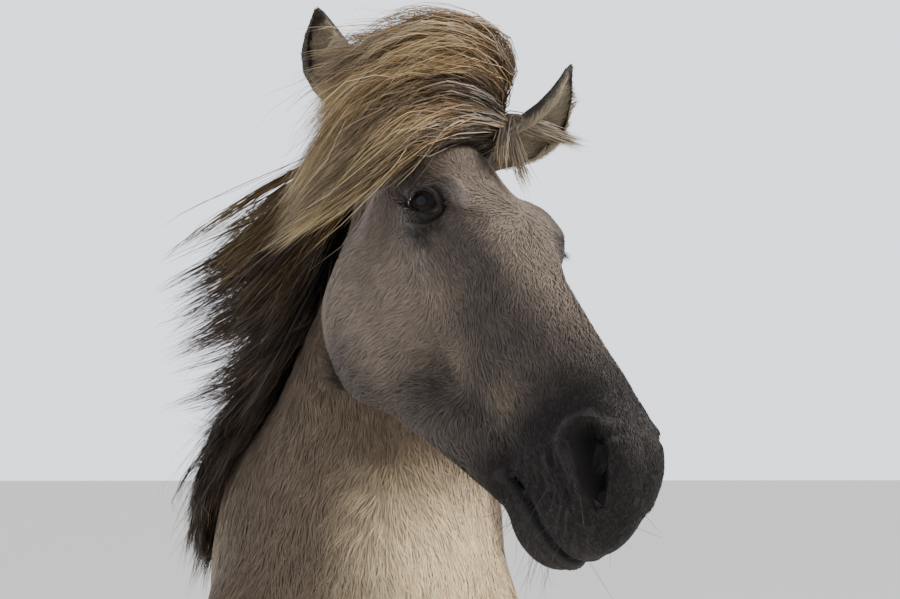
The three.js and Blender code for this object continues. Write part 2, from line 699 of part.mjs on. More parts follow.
// The node with its locks fused in, clear of its neighbours, as one closed body.
function withLocks(node, locks, neighbours = []) {
  let hair = wasm.Manifold.union(locks);
  for (const neighbour of neighbours) hair = hair.subtract(neighbour);
  return largest(node.add(hair));
}

// The mane: its roots follow the crest in rows, and the wind lays it over the horse's right side.
const MANE_ROWS = [
  { count: 8, shift: -10, gap: 10, lift: 0, length: 0.95, width: 84, tilt: 4 },
  { count: 11, shift: 6, gap: 34, lift: 1, length: 1, width: 84, tilt: 20 },
];
const MANE_FALL = new THREE.CatmullRomCurve3([
  vec([-334, 190, -120]),
  vec([-312, 110, -170]),
  vec([-274, 20, -247]),
  vec([-225, -32, -304]),
]);
const MANE_FALL_CLOSE = new THREE.CatmullRomCurve3([
  vec([-150, 130, -230]),
  vec([-165, 80, -290]),
  vec([-190, 20, -330]),
  vec([-190, -20, -345]),
]);
const neckCrest = ringsBetween(neckKeys, 40).map((ring) => {
  const side = ring.lateral.clone().addScaledVector(ring.normal, -ring.lateral.dot(ring.normal)).normalize();
  const up = new THREE.Vector3().crossVectors(side, ring.normal);
  const point = ring.centre.clone().addScaledVector(up, castRay(bodyField, ring.centre, up, 500, 0));
  return { up, side, point, back: ring.normal.clone().negate() };
});
function crestAt(s) {
  const at = mix(2, 35, 1 - s);
  const low = Math.floor(at);
  const share = at - low;
  return {
    point: neckCrest[low].point.clone().lerp(neckCrest[low + 1].point, share),
    up: neckCrest[low].up.clone().lerp(neckCrest[low + 1].up, share).normalize(),
    side: neckCrest[low].side.clone().lerp(neckCrest[low + 1].side, share).normalize(),
    back: neckCrest[low].back.clone().lerp(neckCrest[low + 1].back, share).normalize(),
  };
}
const wholeField = (x, y, z) => Math.min(bodyField(x, y, z), headField(x, y, z));
const maneLocks = [];
const MANE_STEP = 9;
for (const { count, shift, gap, lift, length, width, tilt } of MANE_ROWS) {
  for (let i = 0; i < count; i++) {
    const s = THREE.MathUtils.clamp((i + 0.5 + vary(0.22)) / count, 0, 1);
    const { point, up, side, back } = crestAt(s);
    const far = MANE_FALL_CLOSE.getPoint(s).lerp(MANE_FALL.getPoint(s), lift).multiplyScalar(length * (1 + vary(0.1)));
    far.add(vec([vary(8), vary(8), vary(10)]));
    const start = point.clone().addScaledVector(side, -shift);
    const root = clearOf((x, y, z) => bodyField(x, y, z) + 12, start.clone().addScaledVector(up, -24), 0);
    const rise = 9 + 14 * lift;
    const path = [
      root,
      start.clone().addScaledVector(up, rise * 0.7).addScaledVector(far, 0.06),
      start.clone().addScaledVector(up, rise).addScaledVector(far, 0.26),
      start.clone().addScaledVector(up, rise * 0.6).addScaledVector(far, 0.54),
      start.clone().addScaledVector(up, rise * 0.2).addScaledVector(far, 0.8),
      start.clone().add(far),
    ].map((p, k) => (k === 0 ? p : clearOf(wholeField, p, (gap + (i % 2) * MANE_STEP) * Math.min(1, 0.2 + 0.3 * k))));
    const facing = (p, t, tangent) => new THREE.Vector3().crossVectors(back, tangent);
    maneLocks.push(lockSolid(path, { width: width * (1 + vary(0.1)), thickness: 7, facing, tilt, steps: 5 }));
  }
}

// The forelock: it gathers by the left ear, stands up in the wind and sweeps over the right brow.
// Each guide is a row of points in the head's frame, the first row the highest.
const FORELOCK_GUIDES = [
  [[-14, 48, 44], [-8, 54, 104], [-5, -4, 140], [-5, -74, 130], [2, -133, 106], [12, -172, 66]],
  [[4, 56, 44], [6, 42, 92], [15, -29, 116], [22, -101, 98], [32, -150, 48], [46, -178, -18]],
  [[22, 64, 42], [32, 0, 70], [48, -82, 64], [66, -130, 18], [78, -152, -52], [88, -164, -124]],
  [[40, 66, 34], [52, 26, 34], [82, -44, 20], [110, -96, -14], [122, -134, -62], [118, -178, -122]],
];
const FORELOCK_ROOT_HIGH = vec([-18, 28, -16]);
const FORELOCK_ROOT_LOW = vec([40, 42, -14]);
const FORELOCK_ROWS = [
  { share: 1, count: 8, width: 42 },
  { share: 0.62, count: 2, width: 56 },
];
const FORELOCK_STEP = 9;
const forelockCurves = Array.from({ length: 6 }, (_, k) => {
  return new THREE.CatmullRomCurve3(FORELOCK_GUIDES.map((row) => vec(row[k])));
});
const forelockLocks = [];
for (const { share, count, width } of FORELOCK_ROWS) {
  for (let i = 0; i < count; i++) {
    const u = THREE.MathUtils.clamp((i + 0.5 + vary(0.2)) / count, 0, 1);
    const place = (p, lower) => fromHead(p.x, p.y - (1 - lower) * 40, p.z > 0 ? p.z * lower : p.z);
    const across = forelockCurves.map((curve) => {
      const lower = place(curve.getPoint(Math.min(u + 0.05, 1)), share);
      return lower.sub(place(curve.getPoint(Math.max(u - 0.05, 0)), share));
    });
    const path = forelockCurves.map((curve) => place(curve.getPoint(u), share));
    path[5].lerp(path[4], vary(0.12));
    const normals = path.map((p, k) => {
      const run = path[Math.min(k + 1, 5)].clone().sub(path[Math.max(k - 1, 0)]);
      return run.cross(across[k]).normalize();
    });
    const rootSpot = FORELOCK_ROOT_HIGH.clone().lerp(FORELOCK_ROOT_LOW, u);
    const root = fromHead(rootSpot.x, rootSpot.y - (1 - share) * 50, rootSpot.z);
    const step = (i % 2) * FORELOCK_STEP;
    const clear = path.map((p, k) => {
      return clearOf(wholeField, p.clone().addScaledVector(normals[k], -step * Math.min(1, k * 0.6)), 11 + step);
    });
    const facing = (p, t) => {
      const at = THREE.MathUtils.clamp(t * 6 - 1, 0, 4.999);
      const low = Math.floor(at);
      return normals[low].clone().lerp(normals[low + 1], at - low);
    };
    forelockLocks.push(
      lockSolid([root, ...clear], {
        width: width * (1 + vary(0.12)),
        thickness: 7,
        facing,
        steps: 7,
        widths: FAN_WIDTHS,
      }),
    );
  }
}
// Short locks at the whorl: wisps down the forehead and a tuft past the left ear.
const WHORL_ROOT = [26, 44, -14];
const WHORL_WISPS = [
  [[16, 64, 40], [44, 52, 36], [72, 26, 28], [98, 6, 18]],
  [[18, 64, 40], [52, 66, 36], [92, 62, 20], [134, 52, 6]],
  [[14, 66, 40], [26, 92, 48], [34, 122, 44], [40, 168, 44]],
];
for (const wisp of WHORL_WISPS) {
  const root = fromHead(WHORL_ROOT[0], WHORL_ROOT[1], WHORL_ROOT[2]);
  const path = wisp.map((p) => clearOf(wholeField, fromHead(...p), 5));
  forelockLocks.push(lockSolid([root, ...path], { width: 20, thickness: 6, facing: (p) => gradient(wholeField, p) }));
}

// The tail: a dock that hangs from the croup, with long locks all round it.
const DOCK_PATH = new THREE.CatmullRomCurve3([
  vec([0, 640, 1215]),
  vec([0, 722, 1200]),
  vec([-2, 768, 1120]),
  vec([-4, 782, 1010]),
  vec([-6, 784, 900]),
]);
const DOCK_RADII = [44, 40, 32, 24, 15];
const DOCK_SIDES = 9;
const dockRadius = (t) => {
  const at = t * (DOCK_RADII.length - 1);
  const low = Math.min(Math.floor(at), DOCK_RADII.length - 2);
  return mix(DOCK_RADII[low], DOCK_RADII[low + 1], at - low);
};
function around(curve, t, angle, radius) {
  const tangent = curve.getTangent(t);
  const side = new THREE.Vector3(1, 0, 0);
  const back = new THREE.Vector3().crossVectors(side, tangent).normalize();
  const out = side.multiplyScalar(Math.cos(angle)).addScaledVector(back, Math.sin(angle));
  return { point: curve.getPoint(t).addScaledVector(out, radius), out };
}
const dockRings = Array.from({ length: 6 }, (_, i) => {
  const t = i / 5;
  return Array.from({ length: DOCK_SIDES }, (_, j) => {
    return around(DOCK_PATH, t, (2 * Math.PI * j) / DOCK_SIDES, dockRadius(t)).point;
  });
});
const dockSolid = toSolid(closedSkin(DOCK_PATH.getPoint(0), dockRings, DOCK_PATH.getPoint(1).add(vec([0, 0, -14]))));
const TAIL_ROWS = [
  { at: 0.36, count: 6, tip: 420, spread: 2.3, width: 92 },
  { at: 0.84, count: 6, tip: 200, spread: 1.3, width: 80 },
];
const TAIL_TILT = 16;
const tailLocks = [];
for (const { at, count, tip, spread, width } of TAIL_ROWS) {
  for (let i = 0; i < count; i++) {
    const angle = rad(mix(-38, 218, (i + 0.5 + vary(0.12)) / count));
    const { point, out } = around(DOCK_PATH, at + vary(0.03), angle, dockRadius(at) - 9);
    out.z = 0;
    out.y *= 0.62;
    const step = (i % 2) * 12;
    const drop = point.z - tip - vary(40);
    const sway = vec([-18 + vary(8), 22 + vary(6), 0]);
    const hang = (share, wide) => {
      return point.clone().addScaledVector(out, wide).addScaledVector(sway, share).setZ(point.z - drop * share);
    };
    const path = [
      point,
      hang(0.04, 30 + step),
      hang(0.28, 22 + 22 * spread + step),
      hang(0.52, 22 + 30 * spread + step),
      hang(0.78, 18 + 24 * spread + step),
      hang(1, 8 + 12 * spread),
    ].map((p, k) => (k === 0 ? p : clearOf(torsoField, p, 14)));
    const facing = () => out.clone();
    tailLocks.push(lockSolid(path, { width: width * (1 + vary(0.1)), thickness: 9, facing, tilt: TAIL_TILT, steps: 5 }));
  }
}

// Long hair behind each fetlock.
const FEATHER_LOCKS = 4;
function featherLocks(foot, side) {
  return Array.from({ length: FEATHER_LOCKS }, (_, i) => {
    const angle = rad(mix(-62, 62, i / (FEATHER_LOCKS - 1)) + vary(5));
    const out = vec([Math.sin(angle) * side, Math.cos(angle), 0]);
    const top = vec([133 * side, foot.back, 206 + vary(8)]);
    const path = [
      top.clone().addScaledVector(out, 22),
      top.clone().addScaledVector(out, 46).setZ(188),
      top.clone().addScaledVector(out, 54).setZ(156),
      top.clone().addScaledVector(out, 46).add(vec([0, -10, 0])).setZ(112 + vary(9)),
    ];
    return lockSolid(path, { width: 30, thickness: 8, facing: () => out.clone(), steps: 4 });
  });
}

for (const leg of LEGS) {
  const parts = legParts(leg);
  const back = (leg.name.startsWith('fore') ? -444 : 650) + strideAt(leg.stride, 200);
  const bare = largest(parts.solid.subtract(torsoGrown));
  const hoof = hoofSolid(parts);
  addNode(leg.name, withLocks(bare, featherLocks({ back }, leg.side)), coat);
  addNode(leg.name.replace('leg', 'hoof'), hoof, hornMaterial);
}
const earsGrown = EARS.map((ear) => earSolid(ear, GAP));
addNode('torso', torsoSolid, coat);
addNode('tail', withLocks(largest(dockSolid.subtract(torsoGrown)), tailLocks, [torsoGrown]), coat);
addNode('neck', withLocks(neckSolid, maneLocks, [headGrown, torsoGrown, ...earsGrown]), coat);
addNode('head', withLocks(headSolid, forelockLocks, earsGrown), coat);


// The origin is under the middle of the whole horse, on the floor. Corners closer than a thousandth
// of a millimetre are merged, and each node keeps only its one body.
const bounds = new THREE.Box3();
for (const { solid } of nodes) {
  const { min, max } = solid.boundingBox();
  bounds.expandByPoint(vec(min)).expandByPoint(vec(max));
}
const shift = [-(bounds.min.x + bounds.max.x) / 2, -(bounds.min.y + bounds.max.y) / 2, -bounds.min.z];
for (const { name, solid, material } of nodes) {
  const mesh = new THREE.Mesh(fromSolid(largest(toSolid(fromSolid(solid.translate(shift))))), material);
  mesh.name = name;
  horse.add(mesh);
}

export default horse;
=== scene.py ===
"""Dresses the packed Icelandic horse: one skin over its flesh, ears, eyes, hooves and all of its hair.

Shapes are worked out in millimetres in the horse's own frame, with the head's pose on top of it, and are
moved into the row's frame, in metres, as each mesh is made.
"""

import logging
import math
from dataclasses import dataclass, field
from enum import Enum
from typing import Callable, Sequence

import bpy
import numpy as np
from mathutils import Matrix, Vector


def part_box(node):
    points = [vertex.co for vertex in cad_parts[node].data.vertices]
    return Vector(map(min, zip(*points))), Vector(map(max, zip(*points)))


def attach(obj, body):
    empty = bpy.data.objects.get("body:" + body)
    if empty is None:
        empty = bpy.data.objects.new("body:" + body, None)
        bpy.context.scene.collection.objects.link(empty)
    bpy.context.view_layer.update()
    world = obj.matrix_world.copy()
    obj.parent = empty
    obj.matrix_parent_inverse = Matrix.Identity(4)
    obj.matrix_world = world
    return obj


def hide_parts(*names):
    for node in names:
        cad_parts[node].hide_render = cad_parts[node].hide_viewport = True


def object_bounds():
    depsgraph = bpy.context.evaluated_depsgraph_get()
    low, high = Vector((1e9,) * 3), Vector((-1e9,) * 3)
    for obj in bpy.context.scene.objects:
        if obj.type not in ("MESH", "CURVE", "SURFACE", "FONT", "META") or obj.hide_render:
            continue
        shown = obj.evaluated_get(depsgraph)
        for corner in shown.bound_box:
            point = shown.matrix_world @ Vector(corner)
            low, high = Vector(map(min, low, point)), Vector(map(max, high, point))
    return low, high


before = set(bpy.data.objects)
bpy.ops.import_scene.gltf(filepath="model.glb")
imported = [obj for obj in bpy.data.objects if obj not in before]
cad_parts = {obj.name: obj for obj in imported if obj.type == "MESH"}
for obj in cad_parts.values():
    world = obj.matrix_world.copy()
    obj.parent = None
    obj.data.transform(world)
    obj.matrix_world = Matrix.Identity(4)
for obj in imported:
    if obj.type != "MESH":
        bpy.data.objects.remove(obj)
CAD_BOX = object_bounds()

LOG = logging.getLogger("horse")
Array = np.ndarray
Triple = tuple[float, float, float]
Distance = Callable[[Array], Array]
Bend = tuple[tuple[float, float], ...]
Path = tuple[Triple, ...]
Rng = np.random.Generator
Object = bpy.types.Object
Material = bpy.types.Material

ROOT_BODY = "root"
MM = 0.001
WELD = 0.00002
COAT_SLOT, HORN_SLOT, EYE_SLOT = "coat", "horn", "eye"
TINT = "Coat"
BAKE_MAP = "OFBake"


class Side(Enum):
    """The horse's left is +X and its right is -X."""

    LEFT = 1
    RIGHT = -1

    @property
    def word(self) -> str:
        """The side's name as the nodes spell it."""
        return self.name.lower()


# Small maths


def smooth_min(a: Array, b: Array, blend: float) -> Array:
    """Union of two distances with a fillet between them."""
    h = np.maximum(blend - np.abs(a - b), 0.0) / blend
    return np.minimum(a, b) - h * h * blend * 0.25


def smooth_max(a: Array, b: Array, blend: float) -> Array:
    """Intersection of two distances with a rounded edge."""
    return -smooth_min(-a, -b, blend)


def step(x: Array, low: float, high: float) -> Array:
    """Smooth step from 0 at low to 1 at high."""
    t = np.clip((x - low) / (high - low), 0.0, 1.0)
    return t * t * (3.0 - 2.0 * t)


def bump(x: Array, width: float) -> Array:
    """A bell of height 1 about x = 0."""
    return np.exp(-((x / width) ** 2))


def unit(v: Array) -> Array:
    """Vectors scaled to length one, along the last axis."""
    return v / np.maximum(np.linalg.norm(v, axis=-1, keepdims=True), 1e-9)


def mix(a: Array, b: Array, t: Array) -> Array:
    """The blend from a to b at share t."""
    return a + (b - a) * t


def laid(base: Array | float, *layers: tuple[Array | float, Array]) -> Array:
    """A value with others laid over it in turn.

    Args:
        base: the lowest.
        layers: each one's value and share.

    Returns:
        The result.
    """
    for value, share in layers:
        base = mix(base, value, share)
    return base


def through(points: Array, t: Array) -> Array:
    """Places on the centripetal curve through a row of points.

    Args:
        points: the row, shape (n, 3).
        t: shares from 0 to 1, even over the row's spans.

    Returns:
        The places, shape (len(t), 3).
    """
    points = np.asarray(points, float)
    ends = np.vstack([2 * points[0] - points[1], points, 2 * points[-1] - points[-2]])
    at = np.clip(np.asarray(t, float), 0.0, 1.0) * (len(points) - 1)
    low = np.minimum(at.astype(int), len(points) - 2)
    w = (at - low)[:, None]
    p0, p1, p2, p3 = (ends[low + k] for k in range(4))

    def gap(a: Array, b: Array) -> Array:
        """Root of the distance, which spaces the knots."""
        return np.maximum(np.sqrt(np.linalg.norm(b - a, axis=1, keepdims=True)), 1e-4)

    d0, d1, d2 = gap(p0, p1), gap(p1, p2), gap(p2, p3)
    t1 = ((p1 - p0) / d0 - (p2 - p0) / (d0 + d1) + (p2 - p1) / d1) * d1
    t2 = ((p2 - p1) / d1 - (p3 - p1) / (d1 + d2) + (p3 - p2) / d2) * d1
    return p1 + t1 * w + (3 * (p2 - p1) - 2 * t1 - t2) * w**2 + (2 * (p1 - p2) + t1 + t2) * w**3


def spline_rows(rows: Array, count: int) -> Array:
    """Resamples many control rows at once.

    Args:
        rows: control points, shape (n, k, 3).
        count: how many places each curve gets.

    Returns:
        Smooth curves, shape (n, count, 3).
    """
    k = rows.shape[1]
    ends = np.concatenate([2 * rows[:, :1] - rows[:, 1:2], rows, 2 * rows[:, -1:] - rows[:, -2:-1]], axis=1)
    at = np.linspace(0.0, k - 1.0, count)
    low = np.minimum(at.astype(int), k - 2)
    w = (at - low)[None, :, None]
    p0, p1, p2, p3 = (ends[:, low + j] for j in range(4))
    m1, m2 = (p2 - p0) / 2, (p3 - p1) / 2
    return p1 + m1 * w + (3 * (p2 - p1) - 2 * m1 - m2) * w**2 + (2 * (p1 - p2) + m1 + m2) * w**3


# The head's pose


@dataclass(frozen=True)
class HeadPose:
    """Where the poll is and how the face points.

    Of its axes, a runs from poll to lips, b to the left and c out of the brow.
    """

    poll: Triple = (55.0, -920.0, 1700.0)
    yaw: float = 24.0
    pitch: float = 49.0
    roll: float = -4.0

    def axes(self) -> Array:
        """The pose's three axes as rows.

        Returns:
            The axes a, b and c.
        """
        yaw, pitch, roll = (math.radians(v) for v in (self.yaw, self.pitch, self.roll))
        level = math.cos(pitch)
        along = np.array([math.sin(yaw) * level, -math.cos(yaw) * level, -math.sin(pitch)])
        left = np.array([math.cos(yaw), math.sin(yaw), 0.0])
        turned = left * math.cos(roll) + np.cross(along, left) * math.sin(roll)
        return np.array([along, turned, np.cross(along, turned)])

    def out(self, q: Array) -> Array:
        """From the head's frame to the horse's."""
        return np.asarray(q, float) @ self.axes() + np.array(self.poll)

    def into(self, p: Array) -> Array:
        """From the horse's frame to the head's."""
        return (np.asarray(p, float) - np.array(self.poll)) @ self.axes().T

    def half(self, p: Array) -> Array:
        """From the horse's frame to the head's, with b made positive.

        Args:
            p: points in the horse's frame, one a row.

        Returns:
            The places, one a row.
        """
        q = self.into(p)
        q[:, 1] = np.abs(q[:, 1])
        return q

    def turn(self, v: Array) -> Array:
        """A direction from the head's frame to the horse's."""
        return np.asarray(v, float) @ self.axes()


HEAD = HeadPose()


# Masses of flesh


@dataclass(frozen=True)
class Egg:
    """An ellipsoid, pitched about the lateral axis."""

    centre: Triple
    radii: Triple
    pitch: float = 0.0

    def distance(self, p: Array) -> Array:
        """Signed distance, negative inside.

        Args:
            p: points in the horse's frame, one a row.

        Returns:
            The distances.
        """
        angle = math.radians(self.pitch)
        cos, sin = math.cos(angle), math.sin(angle)
        turn = np.array([[1, 0, 0], [0, cos, -sin], [0, sin, cos]])
        local = (p - np.array(self.centre)) @ turn
        radii = np.array(self.radii)
        k0 = np.linalg.norm(local / radii, axis=1)
        k1 = np.linalg.norm(local / radii**2, axis=1)
        return k0 * (k0 - 1.0) / np.maximum(k1, 1e-9)

    def balls(self) -> list[tuple[Triple, Triple, float]]:
        """The mass as rough balls: centre, radii and pitch of each."""
        return [(self.centre, self.radii, self.pitch)]


@dataclass(frozen=True)
class Limb:
    """A tapered limb between two points, squeezed sideways by flat."""

    start: Triple
    end: Triple
    start_radius: float
    end_radius: float
    flat: float = 1.0

    def distance(self, p: Array) -> Array:
        """Signed distance, negative inside.

        Args:
            p: points in the horse's frame, one a row.

        Returns:
            The distances.
        """
        squeeze = np.array([1.0 / self.flat, 1.0, 1.0])
        axis = (np.array(self.end) - np.array(self.start)) * squeeze
        d = (p - np.array(self.start)) * squeeze
        t = np.clip(d @ axis / (axis @ axis), 0.0, 1.0)
        radius = self.start_radius + (self.end_radius - self.start_radius) * t
        return (np.linalg.norm(d - t[:, None] * axis, axis=1) - radius) * min(1.0, self.flat)

    def balls(self) -> list[tuple[Triple, Triple, float]]:
        """The mass as rough balls: centre, radii and pitch of each.

        Returns:
            The balls, start first.
        """
        start, end = np.array(self.start), np.array(self.end)
        count = max(2, int(np.linalg.norm(end - start) / min(self.start_radius, self.end_radius) * 1.6) + 1)
        rows = []
        for t in np.linspace(0.0, 1.0, count):
            radius = self.start_radius + (self.end_radius - self.start_radius) * t
            rows.append((tuple(mix(start, end, t)), (radius * min(self.flat, 1.0), radius, radius), 0.0))
        return rows


@dataclass(frozen=True)
class Station:
    """One station of a tube: its place, lateral axis, half width and half depth."""

    at: Triple
    width: float
    depth: float
    lateral: Triple = (1.0, 0.0, 0.0)


@dataclass(frozen=True)
class OvalChain:
    """A tube of oval section along stations."""

    stations: tuple[Station, ...]
    steps: int

    def spots(self) -> tuple[Array, Array, Array]:
        """Centres, lateral axes and (width, depth) pairs along the tube.

        Returns:
            The three, one row for each place.
        """
        t = np.linspace(0.0, 1.0, self.steps + 1)
        centres = through(np.array([s.at for s in self.stations]), t)
        laterals = unit(through(np.array([s.lateral for s in self.stations]), t))
        sizes = through(np.array([(s.width, s.depth, 0.0) for s in self.stations]), t)[:, :2]
        return centres, laterals, sizes

    def distance(self, p: Array) -> Array:
        """Signed distance, negative inside.

        Args:
            p: points in the horse's frame, one a row.

        Returns:
            The distances.
        """
        centres, laterals, sizes = self.spots()
        best = np.full(len(p), np.inf)
        for i in range(self.steps):
            axis = centres[i + 1] - centres[i]
            t = np.clip((p - centres[i]) @ axis / (axis @ axis), 0.0, 1.0)[:, None]
            off = p - centres[i] - t * axis
            side = np.sum(off * mix(laterals[i], laterals[i + 1], t), axis=1)
            rest = np.sqrt(np.maximum(np.sum(off * off, axis=1) - side * side, 0.0))
            width, depth = mix(sizes[i], sizes[i + 1], t).T
            best = np.minimum(best, (np.hypot(side / width, rest / depth) - 1.0) * np.minimum(width, depth))
        return best

    def balls(self) -> list[tuple[Triple, Triple, float]]:
        """The mass as rough balls: centre, radii and pitch of each."""
        centres, _, sizes = self.spots()
        return [(tuple(c), (w, min(w, d), d), 0.0) for c, (w, d) in zip(centres, sizes)]


Mass = Egg | Limb | OvalChain


def gradient(distance: Distance, p: Array, reach: float = 1.0, here: Array | None = None) -> Array:
    """Slope of a distance, by differences.

    Args:
        distance: the body.
        p: points, shape (n, 3).
        reach: length of the step.
        here: the distance at the points, where it is already known.

    Returns:
        The slopes, shape (n, 3).
    """
    here = distance(p) if here is None else here
    return np.stack([(distance(p + reach * e) - here) / reach for e in np.eye(3)], axis=1)


def clear_of(distance: Distance, p: Array, gap: Array, rounds: int = 3) -> Array:
    """Pushes points out of a body until they stand clear of it.

    Args:
        distance: the body.
        p: points, shape (n, 3).
        gap: clearance wanted at each point.
        rounds: how often the push is repeated.

    Returns:
        The moved points.
    """
    q = p.copy()
    for _ in range(rounds):
        d = distance(q)
        short = np.flatnonzero(d < gap)
        if not len(short):
            break
        slope = unit(gradient(distance, q[short], 2.0, d[short]))
        q[short] += slope * ((gap - d)[short] * 0.95)[:, None]
    return q


def out_of(distance: Distance, start: Array, way: Array, reach: Array) -> tuple[Array, Array, Array]:
    """Finds where rays first leave a body.

    Args:
        distance: the body.
        start: the rays' starts, one a row, or one for all.
        way: their ways, one a row, or one for all.
        reach: marks along the rays.

    Returns:
        The first mark outside on each ray, by its number, and the distances at the mark before and at it.
    """
    spots = np.atleast_2d(start)[:, None] + np.atleast_2d(way)[:, None] * reach[None, :, None]
    d = distance(spots.reshape(-1, 3)).reshape(len(spots), -1)
    index = np.maximum(np.argmax(d > 0, axis=1), 1)
    rows = np.arange(len(d))
    return index, d[rows, index - 1], d[rows, index]


# The flesh


WITHERS = 1380.0


def chain(rows: Sequence[tuple[float, float, float, float]], steps: int) -> OvalChain:
    """A tube on the middle plane from rows of (y, z, half width, half depth)."""
    return OvalChain(tuple(Station((0.0, y, z), width, depth) for y, z, width, depth in rows), steps)


TORSO: tuple[Mass, ...] = (
    chain(
        [
            (-560, 1080, 150, 230),
            (-420, 1040, 196, 296),
            (-240, 1000, 240, 298),
            (-50, 984, 264, 300),
            (130, 990, 262, 296),
            (300, 1020, 236, 270),
            (420, 1080, 200, 222),
            (520, 1120, 130, 150),
        ],
        14,
    ),
    chain(
        [
            (-470, WITHERS - 130, 80, 112),
            (-370, WITHERS - 114, 80, 112),
            (-250, WITHERS - 142, 96, 112),
            (-80, WITHERS - 186, 130, 112),
            (110, WITHERS - 186, 140, 116),
            (280, WITHERS - 176, 150, 126),
            (420, WITHERS - 182, 150, 142),
            (550, WITHERS - 212, 112, 138),
            (625, WITHERS - 246, 62, 100),
        ],
        12,
    ),
    Egg((142, -440, 1130), (98, 132, 220), 22),
    Egg((148, -572, 1030), (98, 98, 112)),
    Egg((74, -622, 950), (88, 88, 108)),
    Egg((162, -420, 930), (70, 130, 130), 20),
    Egg((120, 400, 1180), (120, 190, 130), 8),
    Egg((148, 450, 1030), (104, 205, 215), -18),
    Egg((108, 588, 1050), (88, 104, 200), -6),
    Egg((158, 345, 915), (80, 100, 125), -14),
)

NECK = OvalChain(
    (
        Station((0, -470, 1130), 208, 280),
        Station((0, -540, 1245), 184, 226, (1, 0.03, 0)),
        Station((4, -620, 1355), 150, 180, (1, 0.1, 0)),
        Station((11, -708, 1455), 116, 150, (0.98, 0.18, 0)),
        Station((20, -792, 1543), 92, 120, (0.95, 0.28, -0.02)),
        Station(tuple(HEAD.out((14, 0, -104))), 72, 86, (0.91, 0.4, -0.05)),
        Station(tuple(HEAD.out((76, 0, -120))), 50, 64, (0.91, 0.4, -0.05)),
    ),
    14,
)

SKULL: tuple[Mass, ...] = (
    Egg((68, 0, -66), (108, 84, 76)),
    Egg((182, 0, -56), (120, 90, 66)),
    Egg((184, 68, -38), (48, 38, 38)),
    Egg((166, 44, -158), (110, 46, 124)),
    Limb((210, 0, -54), (468, 0, -66), 62, 46, 0.74),
    Limb((235, 0, -104), (450, 0, -98), 78, 56, 0.88),
    Limb((205, 40, -240), (430, 22, -166), 42, 31),
    Egg((494, 0, -88), (55, 35, 52)),
    Egg((500, 18, -74), (37, 20, 35)),
    Egg((528, 0, -120), (33, 33, 40)),
    Egg((490, 0, -170), (52, 34, 38)),
    Limb((84, 50, -98), (110, 50, -228), 34, 42),
    Egg((146, 54, -198), (118, 38, 108)),
)
FACIAL_CREST = Limb((226, 70, -76), (345, 52, -90), 18, 14)

FORE_LEG: tuple[Mass, ...] = (
    Limb((142, -425, 880), (139, -440, 560), 92, 50, 0.82),
    Egg((150, -455, 770), (58, 62, 120), 6),
    Limb((139, -440, 560), (138, -446, 440), 47, 42, 0.95),
    Egg((138, -450, 445), (42, 44, 56)),
    Limb((137, -442, 420), (133, -446, 220), 37, 35, 0.78),
    Egg((133, -444, 188), (38, 44, 40)),
    Limb((132, -452, 165), (130, -490, 92), 34, 42, 0.95),
    Egg((130, -496, 84), (50, 54, 28), -20),
)
HIND_LEG: tuple[Mass, ...] = (
    Egg((150, 430, 930), (92, 172, 165), -14),
    Limb((152, 380, 845), (143, 615, 598), 106, 48, 0.74),
    Limb((136, 610, 940), (141, 660, 640), 78, 32, 0.8),
    Limb((142, 640, 690), (139, 700, 600), 30, 20, 0.8),
    Egg((140, 650, 548), (42, 56, 62), -30),
    Egg((139, 698, 592), (22, 24, 30)),
    Limb((138, 656, 500), (135, 652, 240), 42, 37, 0.76),
    Egg((134, 652, 200), (39, 45, 41)),
    Limb((133, 642, 175), (131, 606, 95), 35, 43, 0.95),
    Egg((131, 600, 84), (51, 55, 28), -20),
)
LEG_TOP = 860.0


@dataclass(frozen=True)
class Leg:
    """One leg: its side, a left leg's masses, its stride, and where its hoof, shank and fetlock are."""

    name: str
    side: Side
    masses: tuple[Mass, ...]
    stride: float
    foot: Triple
    shank: Triple
    heel: float

    def step_at(self, z: Array | float) -> Array | float:
        """How far the stride has moved the leg along y at this height."""
        return self.stride * np.clip((LEG_TOP - z) / LEG_TOP, 0.0, 1.0)

    def local(self, p: Array) -> Array:
        """Points in the frame of a left leg that stands square.

        Args:
            p: points in the horse's frame, one a row.

        Returns:
            The moved points.
        """
        q = p.copy()
        q[:, 0] *= self.side.value
        q[:, 1] -= self.step_at(p[:, 2])
        return q

    def place(self, p: Triple) -> Array:
        """A place on this leg from its place on a left leg that stands square."""
        return np.array([p[0] * self.side.value, p[1] + float(self.step_at(p[2])), p[2]])


FORE_MARKS = (130.0, -496.0, 84.0), (136.0, -446.0, 300.0), -444.0
HIND_MARKS = (131.0, 602.0, 84.0), (136.0, 640.0, 300.0), 650.0
LEGS: tuple[Leg, ...] = (
    Leg("fore", Side.LEFT, FORE_LEG, -35.0, *FORE_MARKS),
    Leg("fore", Side.RIGHT, FORE_LEG, 25.0, *FORE_MARKS),
    Leg("hind", Side.LEFT, HIND_LEG, 45.0, *HIND_MARKS),
    Leg("hind", Side.RIGHT, HIND_LEG, -30.0, *HIND_MARKS),
)

DOCK_PATH = np.array(
    [(0, 640, 1215), (0, 722, 1200), (-2, 768, 1120), (-4, 782, 1010), (-6, 784, 900)], float
)
DOCK_RADII = np.array([44, 40, 32, 24, 15], float)
DOCK = OvalChain(tuple(Station(tuple(p), r, r) for p, r in zip(DOCK_PATH, DOCK_RADII)), 12)

FAR = 900.0


